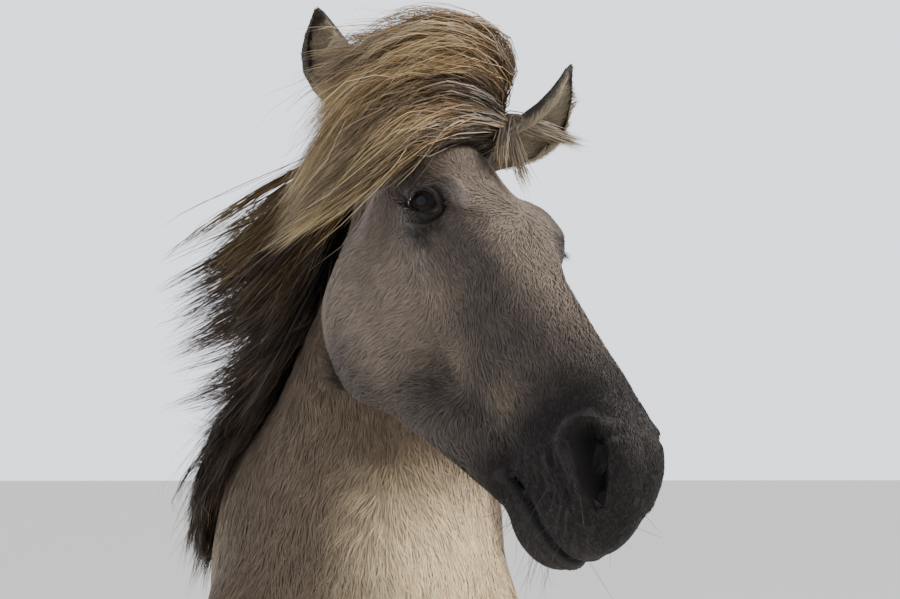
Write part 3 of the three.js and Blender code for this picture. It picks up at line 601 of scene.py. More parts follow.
def near_blend(masses: Sequence[Mass], blend: float, p: Array) -> Array:
    """The distance of merged masses, where each mass is only measured near itself.

    Args:
        masses: what is merged.
        blend: the fillet.
        p: points, shape (n, 3).

    Returns:
        Signed distances. A point that is near no mass gets FAR.
    """
    total = np.full(len(p), FAR)
    margin = blend + 45.0
    for mass in masses:
        balls = mass.balls()
        low = np.min([np.array(c) - max(r) for c, r, _ in balls], axis=0) - margin
        high = np.max([np.array(c) + max(r) for c, r, _ in balls], axis=0) + margin
        near = np.flatnonzero(np.all((p > low) & (p < high), axis=1))
        if len(near):
            total[near] = smooth_min(total[near], mass.distance(p[near]), blend)
    return total


def mirrored(p: Array) -> Array:
    """Points with their lateral coordinate made positive.

    Args:
        p: points in the horse's frame, one a row.

    Returns:
        The points, x positive.
    """
    q = p.copy()
    q[:, 0] = np.abs(q[:, 0])
    return q


# The details of the head, in its own frame with b made positive


@dataclass(frozen=True)
class Ear:
    """An ear's base, tip, the way its cup opens and how its middle bows, in the head's frame."""

    side: Side
    base: Triple
    tip: Triple
    hollow: Triple
    bow: Triple
    wide: float = 1.0


EARS: tuple[Ear, ...] = (
    Ear(Side.LEFT, (4, 52, -34), (-31, 149, 135), (80, 22, 30), (31, 25, 0)),
    Ear(Side.RIGHT, (4, -54, -34), (-62, -200, 60), (80, -52, 25), (-8, -31, -7), 0.87),
)


def off_line(a: Array, c: Array, line: Bend, radii: Sequence[float] | None = None) -> Array:
    """Distance, seen from the side, from a bent line, less the line's own radius.

    Args:
        a: places along the head.
        c: places across it, out of the brow.
        line: the line's points.
        radii: the line's radius at each point, or none.

    Returns:
        The distances, negative inside the line's width.
    """
    spots = np.array(line, float)
    sizes = np.zeros(len(spots)) if radii is None else np.array(radii, float)
    p = np.column_stack([a, c])
    best = np.full(len(p), FAR)
    for i in range(len(spots) - 1):
        axis = spots[i + 1] - spots[i]
        t = np.clip((p - spots[i]) @ axis / (axis @ axis), 0.0, 1.0)
        reach = np.linalg.norm(p - spots[i] - t[:, None] * axis, axis=1)
        best = np.minimum(best, reach - mix(sizes[i], sizes[i + 1], t))
    return best


@dataclass(frozen=True)
class FaceDetail:
    """Folds, rims and openings that the bare skull masses don't have."""

    eye: Triple = (176.0, 84.0, -37.0)
    eye_radii: Triple = (27.0, 23.0, 22.5)
    look: float = 33.0
    slant: float = 24.0
    mouth: Bend = ((444, -150), (470, -154), (504, -158), (536, -161), (584, -161))
    nostril: Bend = ((493, -55), (507, -63), (520, -73), (532, -84), (540, -94))
    nostril_radii: tuple[float, ...] = (13.0, 14.5, 12.5, 8.0, 4.0)
    rear_rim: Bend = ((497, -37), (481, -43), (475, -58), (482, -75), (503, -86), (530, -95))
    front_rim: Bend = ((511, -42), (526, -52), (538, -66), (546, -84))
    fold: Bend = ((478, -90), (486, -98), (502, -103), (520, -109))
    lip_fold: Bend = ((512, -121), (530, -118), (543, -112))
    nostril_depth: float = 24.0

    def eye_axes(self) -> Array:
        """The eye's own axes as rows: along the lids, across them, and out along its look.

        Returns:
            The three axes.
        """
        look, slant = math.radians(self.look), math.radians(self.slant)
        out = np.array([0.10, math.cos(look), math.sin(look)])
        out /= np.linalg.norm(out)
        along = np.array([math.cos(slant), 0.0, math.sin(slant)])
        along -= out * (along @ out)
        along /= np.linalg.norm(along)
        return np.array([along, np.cross(out, along), out])

    def from_eye(self, q: Array) -> Array:
        """Places of the head, b positive, in the eye's own frame."""
        return (q - np.array(self.eye)) @ self.eye_axes().T

    def to_eye(self, flat: Array, height: Array, side: Side) -> Array:
        """Places over the eye's plane, in the horse's frame.

        Args:
            flat: places in the plane, along and across the lids.
            height: how far out of it each one stands.
            side: which eye it is.

        Returns:
            The places.
        """
        axes = self.eye_axes()
        q = np.array(self.eye) + flat @ axes[:2] + height[:, None] * axes[2]
        return HEAD.out(q * np.array([1, side.value, 1]))

    def above_mouth(self, a: Array, c: Array) -> Array:
        """Signed height above the mouth's line."""
        line = np.array(self.mouth, float)
        return c - np.interp(a, line[:, 0], line[:, 1])

    def in_nostril(self, a: Array, b: Array, c: Array) -> Array:
        """Share of the nostril's depth that a place has, from 0 outside to 1 in its middle."""
        return (1 - step(off_line(a, c, self.nostril, self.nostril_radii), -7, 1.5)) * step(b, 6, 16)

    def shape(self, d: Array, q: Array, sockets: bool = True) -> Array:
        """The head's distance with its details worked in.

        Args:
            d: distance of the bare masses.
            q: points in the head's frame, b positive.
            sockets: whether the eyes' hollows are cut, which the lids cover.

        Returns:
            The detailed distance.
        """
        a, b, c = q.T
        flank = step(b, 6, 20)
        brow = near_blend((Limb((146, 64, -9), (200, 76, -12), 15, 9),), 1, q)
        d = smooth_min(d, brow, 16)
        d = smooth_max(d, -Egg((120, 76, 4), (26, 15, 17)).distance(q), 22)
        d = d + 2.6 * bump(a - 262, 40) * bump(b - 62, 22) * bump(c + 52, 16)
        vein = bump(c + 40 - 0.02 * (a - 300), 9) * bump(b - 34, 14)
        d = d - 2.2 * vein * step(a, 240, 290) * step(470 - a, 0, 60)
        d = d + 2.4 * bump(a - 318, 70) * bump(c + 132, 20) * step(b, 18, 40)
        above, lips = self.above_mouth(a, c), step(a, 438, 458)
        d = d - 2.2 * bump(above - 10, 7) * lips - 3.0 * bump(above + 12, 8) * lips
        d = d + 6.5 * bump(above, 3.2) * lips
        d = d + 3.0 * bump(a - 440, 9) * bump(above, 10)
        d = d - 4.6 * bump(off_line(a, c, self.rear_rim), 5.5) * flank
        d = d - 3.4 * bump(off_line(a, c, self.front_rim), 5.5) * flank
        d = d + 3.4 * bump(off_line(a, c, self.fold), 3.4) * flank
        d = d - 1.6 * bump(off_line(a - 7, c + 5, self.fold) - 5, 5) * flank
        d = d + 2.2 * bump(off_line(a, c, self.lip_fold), 3.0) * flank
        d = d + self.nostril_depth * self.in_nostril(a, b, c)
        on_lip = step(a, 430, 470) * step(b, 10, 26) * bump(c + 130, 16)
        d = d + 0.6 * np.sin((a * 0.9 + c * 0.35) * 0.55) * on_lip
        if not sockets:
            return d
        local = self.from_eye(q)
        opening = np.sqrt((local[:, 0] / 31) ** 2 + (local[:, 1] / 24) ** 2 + ((local[:, 2] - 26) / 24) ** 2)
        return smooth_max(d, (1 - opening) * 24, 6)


FACE = FaceDetail()


class Flesh:
    """The whole horse as one distance, in its own frame in millimetres."""

    @staticmethod
    def torso(p: Array) -> Array:
        """Barrel, shoulders, chest and rump."""
        return near_blend(TORSO, 60, mirrored(p))

    @staticmethod
    def body(p: Array) -> Array:
        """Torso and neck."""
        return smooth_min(Flesh.torso(p), near_blend((NECK,), 90, p), 90)

    @staticmethod
    def head(p: Array, detailed: bool = False, sockets: bool = True) -> Array:
        """The head, with its folds and openings where detailed.

        Args:
            p: points in the horse's frame, one a row.
            detailed: whether folds and openings are worked in.
            sockets: whether the eyes' hollows are cut.

        Returns:
            Signed distances.
        """
        d = np.full(len(p), FAR)
        q = HEAD.into(p)
        near = np.flatnonzero(np.linalg.norm(q - np.array([250.0, 0.0, -100.0]), axis=1) < 420)
        if not len(near):
            return d
        local = q[near]
        bare = local.copy()
        bare[:, 1] = np.abs(bare[:, 1])
        head = smooth_min(near_blend(SKULL, 26, bare), FACIAL_CREST.distance(bare), 20)
        for ear in EARS:
            base, tip = np.array(ear.base, float), np.array(ear.tip, float)
            root = Limb(tuple(base), tuple(mix(base, tip, 0.2)), 27, 26)
            head = smooth_min(head, root.distance(local), 16)
        d[near] = FACE.shape(head, bare, sockets) if detailed else head
        return d

    @staticmethod
    def leg(leg: Leg, p: Array) -> Array:
        """One leg."""
        return near_blend(leg.masses, 34, leg.local(p))

    @staticmethod
    def whole(p: Array, detailed: bool = False) -> Array:
        """All of the flesh.

        Args:
            p: points in the horse's frame, one a row.
            detailed: whether the head's folds and openings are worked in.

        Returns:
            Signed distances.
        """
        d = Flesh.body(p)
        low = np.flatnonzero(p[:, 2] < 1120)
        for leg in LEGS:
            d[low] = smooth_min(d[low], Flesh.leg(leg, p[low]), 60)
        rear = np.flatnonzero(p[:, 1] > 560)
        d[rear] = smooth_min(d[rear], near_blend((DOCK,), 30, p[rear]), 30)
        return smooth_min(d, Flesh.head(p, detailed), 24)


def coat_depth(p: Array) -> Array:
    """How far under the solids' surface the skin lies: the height of the flat coat.

    Args:
        p: points in the horse's frame, one a row.

    Returns:
        The depths.
    """
    q = HEAD.into(p)
    on_head = step(-Flesh.head(p), -30, -8)
    face = mix(3.2, 1.0, step(q[:, 0], 380, 450))
    leg = step(-p[:, 2], -820, -560)
    foot = step(-p[:, 2], -420, -250)
    return laid(11.0, (6.0, leg), (3.0, foot), (face, on_head))


# From millimetres in the horse's frame to metres in the row's frame


def row_shift() -> Array:
    """Where the packed frame puts the horse's own origin, found from the right eye's node.

    Returns:
        The shift, in metres.
    """
    low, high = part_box("eye_right")
    packed = (np.array(low) + np.array(high)) / 2
    eye = np.array(FACE.eye) * np.array([1.0, -1.0, 1.0])
    return packed - HEAD.out(eye) * MM


SHIFT = row_shift()


def to_row(p: Array) -> Array:
    """Millimetres in the horse's frame to metres in the row's."""
    return np.asarray(p, float) * MM + SHIFT


def from_row(p: Array) -> Array:
    """Metres in the row's frame to millimetres in the horse's."""
    return (np.asarray(p, float) - SHIFT) / MM


# Colours


def linear(rgb: Triple) -> Array:
    """A colour given in screen values, from 0 to 255, as linear light."""
    c = np.asarray(rgb, float) / 255.0
    return np.where(c <= 0.04045, c / 12.92, ((c + 0.055) / 1.055) ** 2.4)


class Ripple:
    """Smooth seeded noise in space: a sum of waves."""

    def __init__(self, seed: int, scale: float, waves: int = 10) -> None:
        """Draws the waves.

        Args:
            seed: what the draw starts from.
            scale: typical length of a wave, in millimetres.
            waves: how many are summed.
        """
        draw = np.random.default_rng(seed)
        ways = unit(draw.normal(size=(waves, 3)))
        self.ways = ways * (2 * math.pi / (scale * draw.uniform(0.6, 1.7, (waves, 1))))
        self.phases = draw.uniform(0, 2 * math.pi, waves)

    def at(self, p: Array) -> Array:
        """Values of about -1 to 1."""
        return np.sin(p @ self.ways.T + self.phases).sum(axis=1) / math.sqrt(len(self.phases) * 1.4)


@dataclass(frozen=True)
class Dun:
    """The mouse-dun winter coat's colours, in screen values, some of them with painted light and shade in
    them, as marked where they are laid.
    """

    face: Triple = (84, 74, 67)
    cheek: Triple = (134, 119, 105)
    forehead: Triple = (130, 115, 101)
    pale_spot: Triple = (134, 116, 97)
    muzzle: Triple = (30, 24, 22)
    lips: Triple = (50, 44, 41)
    lid: Triple = (42, 34, 28)
    # painted shade in the nostrils' depths and along the mouth's line, over the muzzle's own dark skin
    nostril: Triple = (27, 24, 24)
    # partly the throat's own darker dun, partly painted shade under the jowl
    throat: Triple = (92, 77, 62)
    # the neck's sides: partly their own darker dun, partly painted shade
    neck: Triple = (108, 92, 76)
    # the pale chest: partly the coat's own cream, partly painted sunlight where it reaches round the horse's
    # left
    chest: Triple = (234, 211, 170)
    flank: Triple = (184, 165, 137)
    belly: Triple = (196, 178, 148)
    back: Triple = (140, 121, 98)
    stripe: Triple = (62, 51, 43)
    shank: Triple = (80, 68, 57)
    ear_rim: Triple = (44, 35, 30)
    ear_back: Triple = (112, 97, 80)
    ear_inside: Triple = (176, 162, 138)


class Markings:
    """Where each colour of the coat lies. Skin and hair both ask here."""

    def __init__(self) -> None:
        """Sets up the coat's mottling."""
        self.dun = Dun()
        self.coarse = Ripple(11, 240)
        self.fine = Ripple(12, 46)
        self.fleck = Ripple(13, 15)

    def body(self, p: Array, head: Array) -> Array:
        """Linear colours of neck, torso and legs, with painted shade on the neck's sides and under the jowl,
        and painted sunlight on the chest's left side.

        Args:
            p: points in the horse's frame.
            head: how far they are from the head.

        Returns:
            The colours.
        """
        x, y, z = p.T
        neck = step(-y, 400, 600) * step(z, 960, 1120)
        # painted sunlight: this pale band down the neck's front is set off towards the horse's left, the
        # sunlit side; the breast below is the coat's own cream
        front = step(x, -95, 45) * (1 - step(x, 170, 250)) * step(-y, 540, 640) * step(-z, -1330, -1180)
        breast = (1 - step(np.abs(x), 150, 260)) * step(-y, 430, 560)
        breast = breast * step(-z, -1090, -980) * step(z, 780, 900)
        spine = bump(x, 26) * step(z, 1180, 1240) * step(y, -460, -330) * step(-y, -640, -560)
        bars = 0.5 + 0.5 * np.sin(z * 0.17 + 1.2 * np.sin(x * 0.05 + y * 0.03))
        layers = (
            ("belly", step(-z, -1080, -780)),
            ("back", step(z, 1150, 1300) * step(y, -560, -300)),
            # partly the neck's own darker dun, partly painted shade: the neck's sides are laid much darker
            # than the flank
            ("neck", neck),
            ("chest", np.maximum(front, breast)),
            # painted shade: under the jowl, on the horse's right side only, the neck takes this darker tone,
            # partly the throat's own darker dun
            ("throat", 0.9 * (1 - step(head, 6, 130)) * step(-x, -40, 30)),
            ("back", 0.7 * neck * step(y * 0.7 + z * 0.7, 560, 640)),
            ("stripe", 0.85 * spine),
            ("stripe", bump(y + 392 + 0.18 * (1380 - z), 26) * step(z, 1090, 1290) * 0.55),
            ("shank", 0.92 * step(-z, -640, -330)),
            ("shank", 0.45 * bump(z - 560, 120) * step(bars, 0.62, 0.9) * step(-z, -700, -600)),
        )
        shade = 1 + 0.05 * self.coarse.at(p) + 0.06 * self.fine.at(p) + 0.04 * self.fleck.at(p)
        return self.layered("flank", layers) * shade[:, None]

    def layered(self, base: str, layers: Sequence[tuple[str, Array]]) -> Array:
        """Colours laid over one another.

        Args:
            base: the lowest colour's name.
            layers: the name and the share of each colour over it.

        Returns:
            The linear colours.
        """
        tones = {name: linear(value) for name, value in vars(self.dun).items()}
        return laid(tones[base], *((tones[name], share[:, None]) for name, share in layers))

    def head(self, p: Array) -> Array:
        """Linear colours of the head at points in the horse's frame, with painted light and shade: paler down
        the top of the face, darker under the jaw, in the nostrils and along the mouth's line, and a painted
        highlight on the nostrils' rear rims.

        Args:
            p: points in the horse's frame, one a row.

        Returns:
            The colours.
        """
        q = HEAD.half(p)
        a, b, c = q.T
        fine = self.fine.at(p)
        # partly the forehead's own paler tone, partly painted light: the top of the face, where the light
        # falls, is laid paler down the nose
        top = step(c, -46, -8) * (1 - step(b, 36, 64)) * (1 - step(a, 300, 420))
        brow = step(c, -50, -6) * (1 - step(a, 196, 250)) * (1 - step(b, 50, 72))
        # painted shade: the mouth's line and the nostrils' depths are laid in the dark nostril tone, over the
        # muzzle's own dark skin
        line = bump(FACE.above_mouth(a, c), 3.6) * step(a, 440, 450)
        nose = FACE.in_nostril(a, b, c)
        # painted highlight: the nostrils' raised rear rims are laid in the paler lip tone
        rim = bump(off_line(a, c, FACE.rear_rim), 4.0) * step(b, 6, 20) * (1 - nose)
        along, across, _ = FACE.from_eye(q).T
        upper = step(across, -6, 12)
        ring = np.hypot((along - 6 * upper) / 42, across / mix(26, 48, upper)) + 0.05 * self.fine.at(p * 2)
        tear = bump(across + 0.75 * (along - 24), 9) * step(along, 24, 34) * (1 - step(along, 46, 74))
        spots = tuple(
            ("pale_spot", 0.5 * bump(np.hypot(a - spot_a, c - spot_c), reach) * step(b, 20, 50))
            for spot_a, spot_c, reach in ((270, -92, 24), (322, -114, 26), (402, -100, 24))
        )
        layers = (
            ("cheek", step(-c, 26, 110) * step(-a, -320, -215)),
            ("forehead", np.maximum(top, brow)),
            *spots,
            # painted shade: the underside of the jaw is laid with the darker face tone
            ("face", 0.95 * step(-c, 182, 246) * step(a, 90, 190)),
            ("muzzle", step(a - 0.12 * (c + 100) + 9 * fine, 378, 462)),
            ("lips", 0.6 * step(a, 468, 520) * step(-c, 108, 150)),
            ("nostril", np.maximum(line, nose)),
            ("lips", 0.55 * rim),
            ("lid", 1 - step(ring, 0.66, 1.08)),
            ("lid", 0.55 * tear),
        )
        shade = 1 + 0.05 * self.coarse.at(p) + 0.07 * fine + 0.06 * self.fleck.at(p)
        return self.layered("face", layers) * shade[:, None]

    def coat(self, p: Array) -> Array:
        """Linear colours of the whole coat at points in the horse's frame.

        Args:
            p: points in the horse's frame, one a row.

        Returns:
            The colours.
        """
        head = Flesh.head(p)
        on_head = step(Flesh.body(p) - head, -14, 26)[:, None]
        return np.clip(mix(self.body(p, head), self.head(p), on_head), 0.004, 1.0)


MARKINGS = Markings()


# Meshes


def read_rows(
    items: bpy.types.bpy_prop_collection, name: str, width: int = 3, kind: type = np.float32
) -> Array:
    """One property of all of a mesh's elements.

    Args:
        items: the elements.
        name: the property.
        width: how many numbers each one has.
        kind: their type.

    Returns:
        The numbers, one row for each element.
    """
    flat = np.empty(len(items) * width, kind)
    items.foreach_get(name, flat)
    return flat.reshape(-1, width)


def raw_corners(obj: Object) -> Array:
    """A mesh's corners just as they are stored."""
    return read_rows(obj.data.vertices, "co").astype(float)


def new_mesh(
    name: str, points: Array, faces: Array, colours: Array | None = None, chart: Array | None = None
) -> Object:
    """A triangle mesh as an object of the scene.

    Args:
        name: the piece's name.
        points: corners in the horse's frame, in millimetres.
        faces: three corners each.
        colours: linear colour of each corner.
        chart: place of each corner on the bake map.

    Returns:
        The object, at the origin.
    """
    mesh = bpy.data.meshes.new(name)
    count = len(faces)
    mesh.vertices.add(len(points))
    mesh.vertices.foreach_set("co", to_row(points).astype(np.float32).ravel())
    mesh.loops.add(count * 3)
    mesh.loops.foreach_set("vertex_index", np.asarray(faces, np.int32).ravel())
    mesh.polygons.add(count)
    mesh.polygons.foreach_set("loop_start", np.arange(0, count * 3, 3, dtype=np.int32))
    mesh.polygons.foreach_set("loop_total", np.full(count, 3, np.int32))
    mesh.polygons.foreach_set("use_smooth", np.ones(count, bool))
    mesh.update(calc_edges=True)
    if colours is not None:
        paint(mesh, colours)
    if chart is not None:
        layer = mesh.uv_layers.new(name=BAKE_MAP)
        layer.data.foreach_set("uv", chart[np.asarray(faces).ravel()].astype(np.float32).ravel())
    obj = bpy.data.objects.new(name, mesh)
    bpy.context.scene.collection.objects.link(obj)
    return obj


def paint(mesh: bpy.types.Mesh, colours: Array) -> None:
    """Gives each corner of a mesh its linear colour.

    Args:
        mesh: the mesh.
        colours: one colour for each corner.
    """
    layer = mesh.color_attributes.get(TINT) or mesh.color_attributes.new(TINT, "FLOAT_COLOR", "POINT")
    rgba = np.column_stack([colours, np.ones(len(colours))])
    layer.data.foreach_set("color", rgba.astype(np.float32).ravel())


def places(obj: Object) -> Array:
    """A mesh's corners in the horse's frame, in millimetres."""
    return from_row(raw_corners(obj))


def move_corners(obj: Object, points: Array) -> None:
    """Puts a mesh's corners at new places of the horse's frame."""
    obj.data.vertices.foreach_set("co", to_row(points).astype(np.float32).ravel())
    obj.data.update()


def only(*objects: Object) -> None:
    """Selects just these objects, the first one active.

    Args:
        *objects: what is selected.
    """
    if bpy.context.object and bpy.context.object.mode != "OBJECT":
        bpy.ops.object.mode_set(mode="OBJECT")
    bpy.ops.object.select_all(action="DESELECT")
    for obj in objects:
        obj.select_set(True)
    bpy.context.view_layer.objects.active = objects[0]


def apply_modifier(obj: Object, kind: str, **settings: object) -> None:
    """Adds one modifier and applies it.

    Args:
        obj: the object.
        kind: the modifier's type.
        **settings: its settings.
    """
    only(obj)
    modifier = obj.modifiers.new(kind.title(), kind)
    for key, value in settings.items():
        setattr(modifier, key, value)
    bpy.ops.object.modifier_apply(modifier=modifier.name)


def settle(obj: Object) -> None:
    """Applies an object's own place, turn and scale to its mesh."""
    only(obj)
    bpy.ops.object.transform_apply(location=True, rotation=True, scale=True)


def finish_piece(obj: Object, material: Material, slot: str, *nodes: str) -> None:
    """Dresses a piece, hangs it on the root body's empty and hides the nodes that it stands for.

    Args:
        obj: the piece.
        material: its material.
        slot: not used.
        *nodes: the nodes that it stands for.
    """
    obj.data.materials.clear()
    obj.data.materials.append(material)
    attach(obj, ROOT_BODY)
    if nodes:
        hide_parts(*nodes)
    LOG.info("%s: %d faces", obj.name, len(obj.data.polygons))


# The skin


@dataclass
class Skin:
    """One skin over all the flesh, ears joined, which the coat grows from.

    It starts as primitives at the masses' places, which are joined and remeshed, and is then drawn on to
    the flesh's surface. The head is divided finer, and the eyes, nostrils and lips finer still.
    """

    voxel: float = 11.0
    ball_share: float = 0.985
    head_reach: float = 26.0
    obj: Object | None = None
    points: Array = field(default_factory=lambda: np.zeros((0, 3)))
    normals: Array = field(default_factory=lambda: np.zeros((0, 3)))
    triangles: Array = field(default_factory=lambda: np.zeros((0, 3), int))

    def ball_rows(self) -> list[tuple[Array, Array, Array]]:
        """Centre, radii and axes of every ball that roughs the flesh out, in the horse's frame.

        Returns:
            The balls.
        """
        rows: list[tuple[Array, Array, Array]] = []

        def add(mass: Mass, place: Callable[[Array], Array], axes: Array, sides: Sequence[int]) -> None:
            """Adds a mass's balls, on one side or both.

            Args:
                mass: the mass.
                place: from the mass's frame to the horse's.
                axes: the mass's axes.
                sides: 1, or 1 and -1.
            """
            for centre, radii, pitch in mass.balls():
                for side in sides:
                    spot = np.array([centre[0] * side, centre[1], centre[2]])
                    turn = np.array(Matrix.Rotation(math.radians(pitch), 3, "X")).T
                    rows.append((place(spot), np.array(radii) * self.ball_share, turn @ axes))

        stay = np.eye(3)
        for mass in TORSO:
            add(mass, lambda s: s, stay, (1,) if isinstance(mass, OvalChain) else (1, -1))
        add(NECK, lambda s: s, stay, (1,))
        add(DOCK, lambda s: s, stay, (1,))
        for leg in LEGS:
            for mass in leg.masses:
                add(mass, lambda s, one=leg: one.place(tuple(s)), stay, (1,))
        head_axes = HEAD.axes()
        for mass in SKULL:
            for centre, radii, _ in mass.balls():
                for side in (1, -1) if centre[1] else (1,):
                    spot = np.array([centre[0], centre[1] * side, centre[2]])
                    rows.append((HEAD.out(spot), np.array(radii) * self.ball_share, head_axes))
        return rows

    def rough(self) -> Object:
        """Joined primitives at the masses' places, remeshed into one closed skin.

        Returns:
            The skin.
        """
        bpy.ops.object.select_all(action="DESELECT")
        bpy.ops.mesh.primitive_ico_sphere_add(subdivisions=4, radius=1.0)
        first = bpy.context.object
        first.name = "skin"
        base = raw_corners(first)
        faces = read_rows(first.data.polygons, "vertices", 3, np.int32)
        rows = self.ball_rows()
        points = np.concatenate([(base * radii) @ axes + centre for centre, radii, axes in rows])
        index = np.concatenate([faces + k * len(base) for k in range(len(rows))])
        joined = new_mesh("skin_balls", points, index)
        bpy.data.objects.remove(first)
        apply_modifier(joined, "REMESH", mode="VOXEL", voxel_size=self.voxel * MM, adaptivity=0.0)
        joined.name = "skin"
        return joined

    def corners(self) -> Array:
        """Triangle corners of the skin as it is now."""
        self.obj.data.calc_loop_triangles()
        return read_rows(self.obj.data.loop_triangles, "vertices", 3, np.int32)

    def draw_on(self, rounds: int, ease: float, chosen: Callable[[Array], Array] | None = None) -> None:
        """Draws the skin on to the flesh, evening its faces between rounds.

        Args:
            rounds: how often it is eased and drawn.
            ease: how far each corner moves towards its neighbours' middle.
            chosen: which corners move, with the head's details in. Where left out, all of them move,
                without the details.
        """
        detailed = chosen is not None
        points = places(self.obj)
        edges = read_rows(self.obj.data.edges, "vertices", 2, np.int32)
        degree = np.bincount(edges.ravel(), minlength=len(points))[:, None]
        free = np.flatnonzero(chosen(points)) if chosen else np.arange(len(points))
        for k in range(rounds):
            last = k == rounds - 1
            total = np.zeros_like(points)
            np.add.at(total, edges[:, 0], points[edges[:, 1]])
            np.add.at(total, edges[:, 1], points[edges[:, 0]])
            points[free] = mix(points, total / degree, ease * 0.3 if last else ease)[free]
            moved = points[free]
            depth = coat_depth(moved)
            for _ in range(2 if last else 1):
                value = Flesh.whole(moved, detailed) + depth
                slope = gradient(lambda p: Flesh.whole(p, detailed) + depth, moved, 1.0, value)
                size = np.maximum(np.sum(slope**2, axis=1), 0.3)
                moved = moved - slope * (np.clip(value, -14, 14) / size)[:, None]
            points[free] = moved
        move_corners(self.obj, points)

    def divide(self, chosen: Callable[[Array], Array]) -> None:
        """Subdivides the faces whose middles are chosen.

        Args:
            chosen: which places are divided.
        """
        mesh = self.obj.data
        pick = chosen(from_row(read_rows(mesh.polygons, "center")))
        only(self.obj)
        mesh.polygons.foreach_set("select", pick)
        mesh.vertices.foreach_set("select", np.zeros(len(mesh.vertices), bool))
        mesh.edges.foreach_set("select", np.zeros(len(mesh.edges), bool))
        bpy.context.tool_settings.mesh_select_mode = (False, False, True)
        bpy.ops.object.mode_set(mode="EDIT")
        bpy.ops.mesh.subdivide(number_cuts=1)
        bpy.ops.object.mode_set(mode="OBJECT")

    def is_head(self, p: Array) -> Array:
        """Whether points lie on the head."""
        return Flesh.head(p) < np.minimum(Flesh.body(p) - 4, self.head_reach)

    @staticmethod
    def is_fine(p: Array) -> Array:
        """Whether points lie round an eye, a nostril or the lips.

        Args:
            p: points in the horse's frame, one a row.

        Returns:
            True for each one that does.
        """
        q = HEAD.half(p)
        eye = np.linalg.norm(q - np.array(FACE.eye), axis=1) < 52
        mouth = (q[:, 0] > 432) & (np.linalg.norm(q - np.array([500, 0, -100]), axis=1) < 130)
        return eye | mouth

    def build(self) -> None:
        """Makes the skin's mesh in steps, rough to fine."""
        self.obj = self.rough()
        self.draw_on(4, 0.5)
        self.divide(self.is_head)
        self.draw_on(3, 0.4, self.is_head)
        self.divide(self.is_fine)
        self.draw_on(3, 0.3, self.is_fine)

    def take_in(self, pieces: Sequence[Object]) -> None:
        """Joins the ears and lids to the skin and measures the whole.

        Args:
            pieces: the ears and lids.
        """
        only(self.obj, *pieces)
        bpy.ops.object.join()
        self.points = places(self.obj)
        self.triangles = self.corners()
        self.normals = read_rows(self.obj.data.vertices, "normal").astype(float)

    def colour(self, coat: "Coat") -> None:
        """Paints the coat's markings on the skin, darker where the hair shades it."""
        tone = coat.ear_tone(self.points, self.normals, MARKINGS.coat(self.points))
        paint(self.obj.data, tone * 0.86)


# Shaders


class Value:
    """A socket that node maths can be written with."""

    def __init__(self, tree: "Shader", socket: bpy.types.NodeSocket) -> None:
        """Keeps the shader that new nodes go to, and the socket."""
        self.tree, self.socket = tree, socket

    def math(self, operation: str, other: "Value | float") -> "Value":
        """A Math node on this value and another."""
        return self.tree.node("ShaderNodeMath", {"operation": operation}, {0: self, 1: other})

    def __add__(self, other: "Value | float") -> "Value":
        """Sum."""
        return self.math("ADD", other)

    def __mul__(self, other: "Value | float") -> "Value":
        """Product."""
        return self.math("MULTIPLY", other)

    def between(self, low: float, high: float) -> "Value":
        """Maps low..high to 0..1 with soft ends."""
        settings = {"interpolation_type": "SMOOTHSTEP"}
        return self.tree.node("ShaderNodeMapRange", settings, {0: self, 1: low, 2: high, 3: 0.0, 4: 1.0})


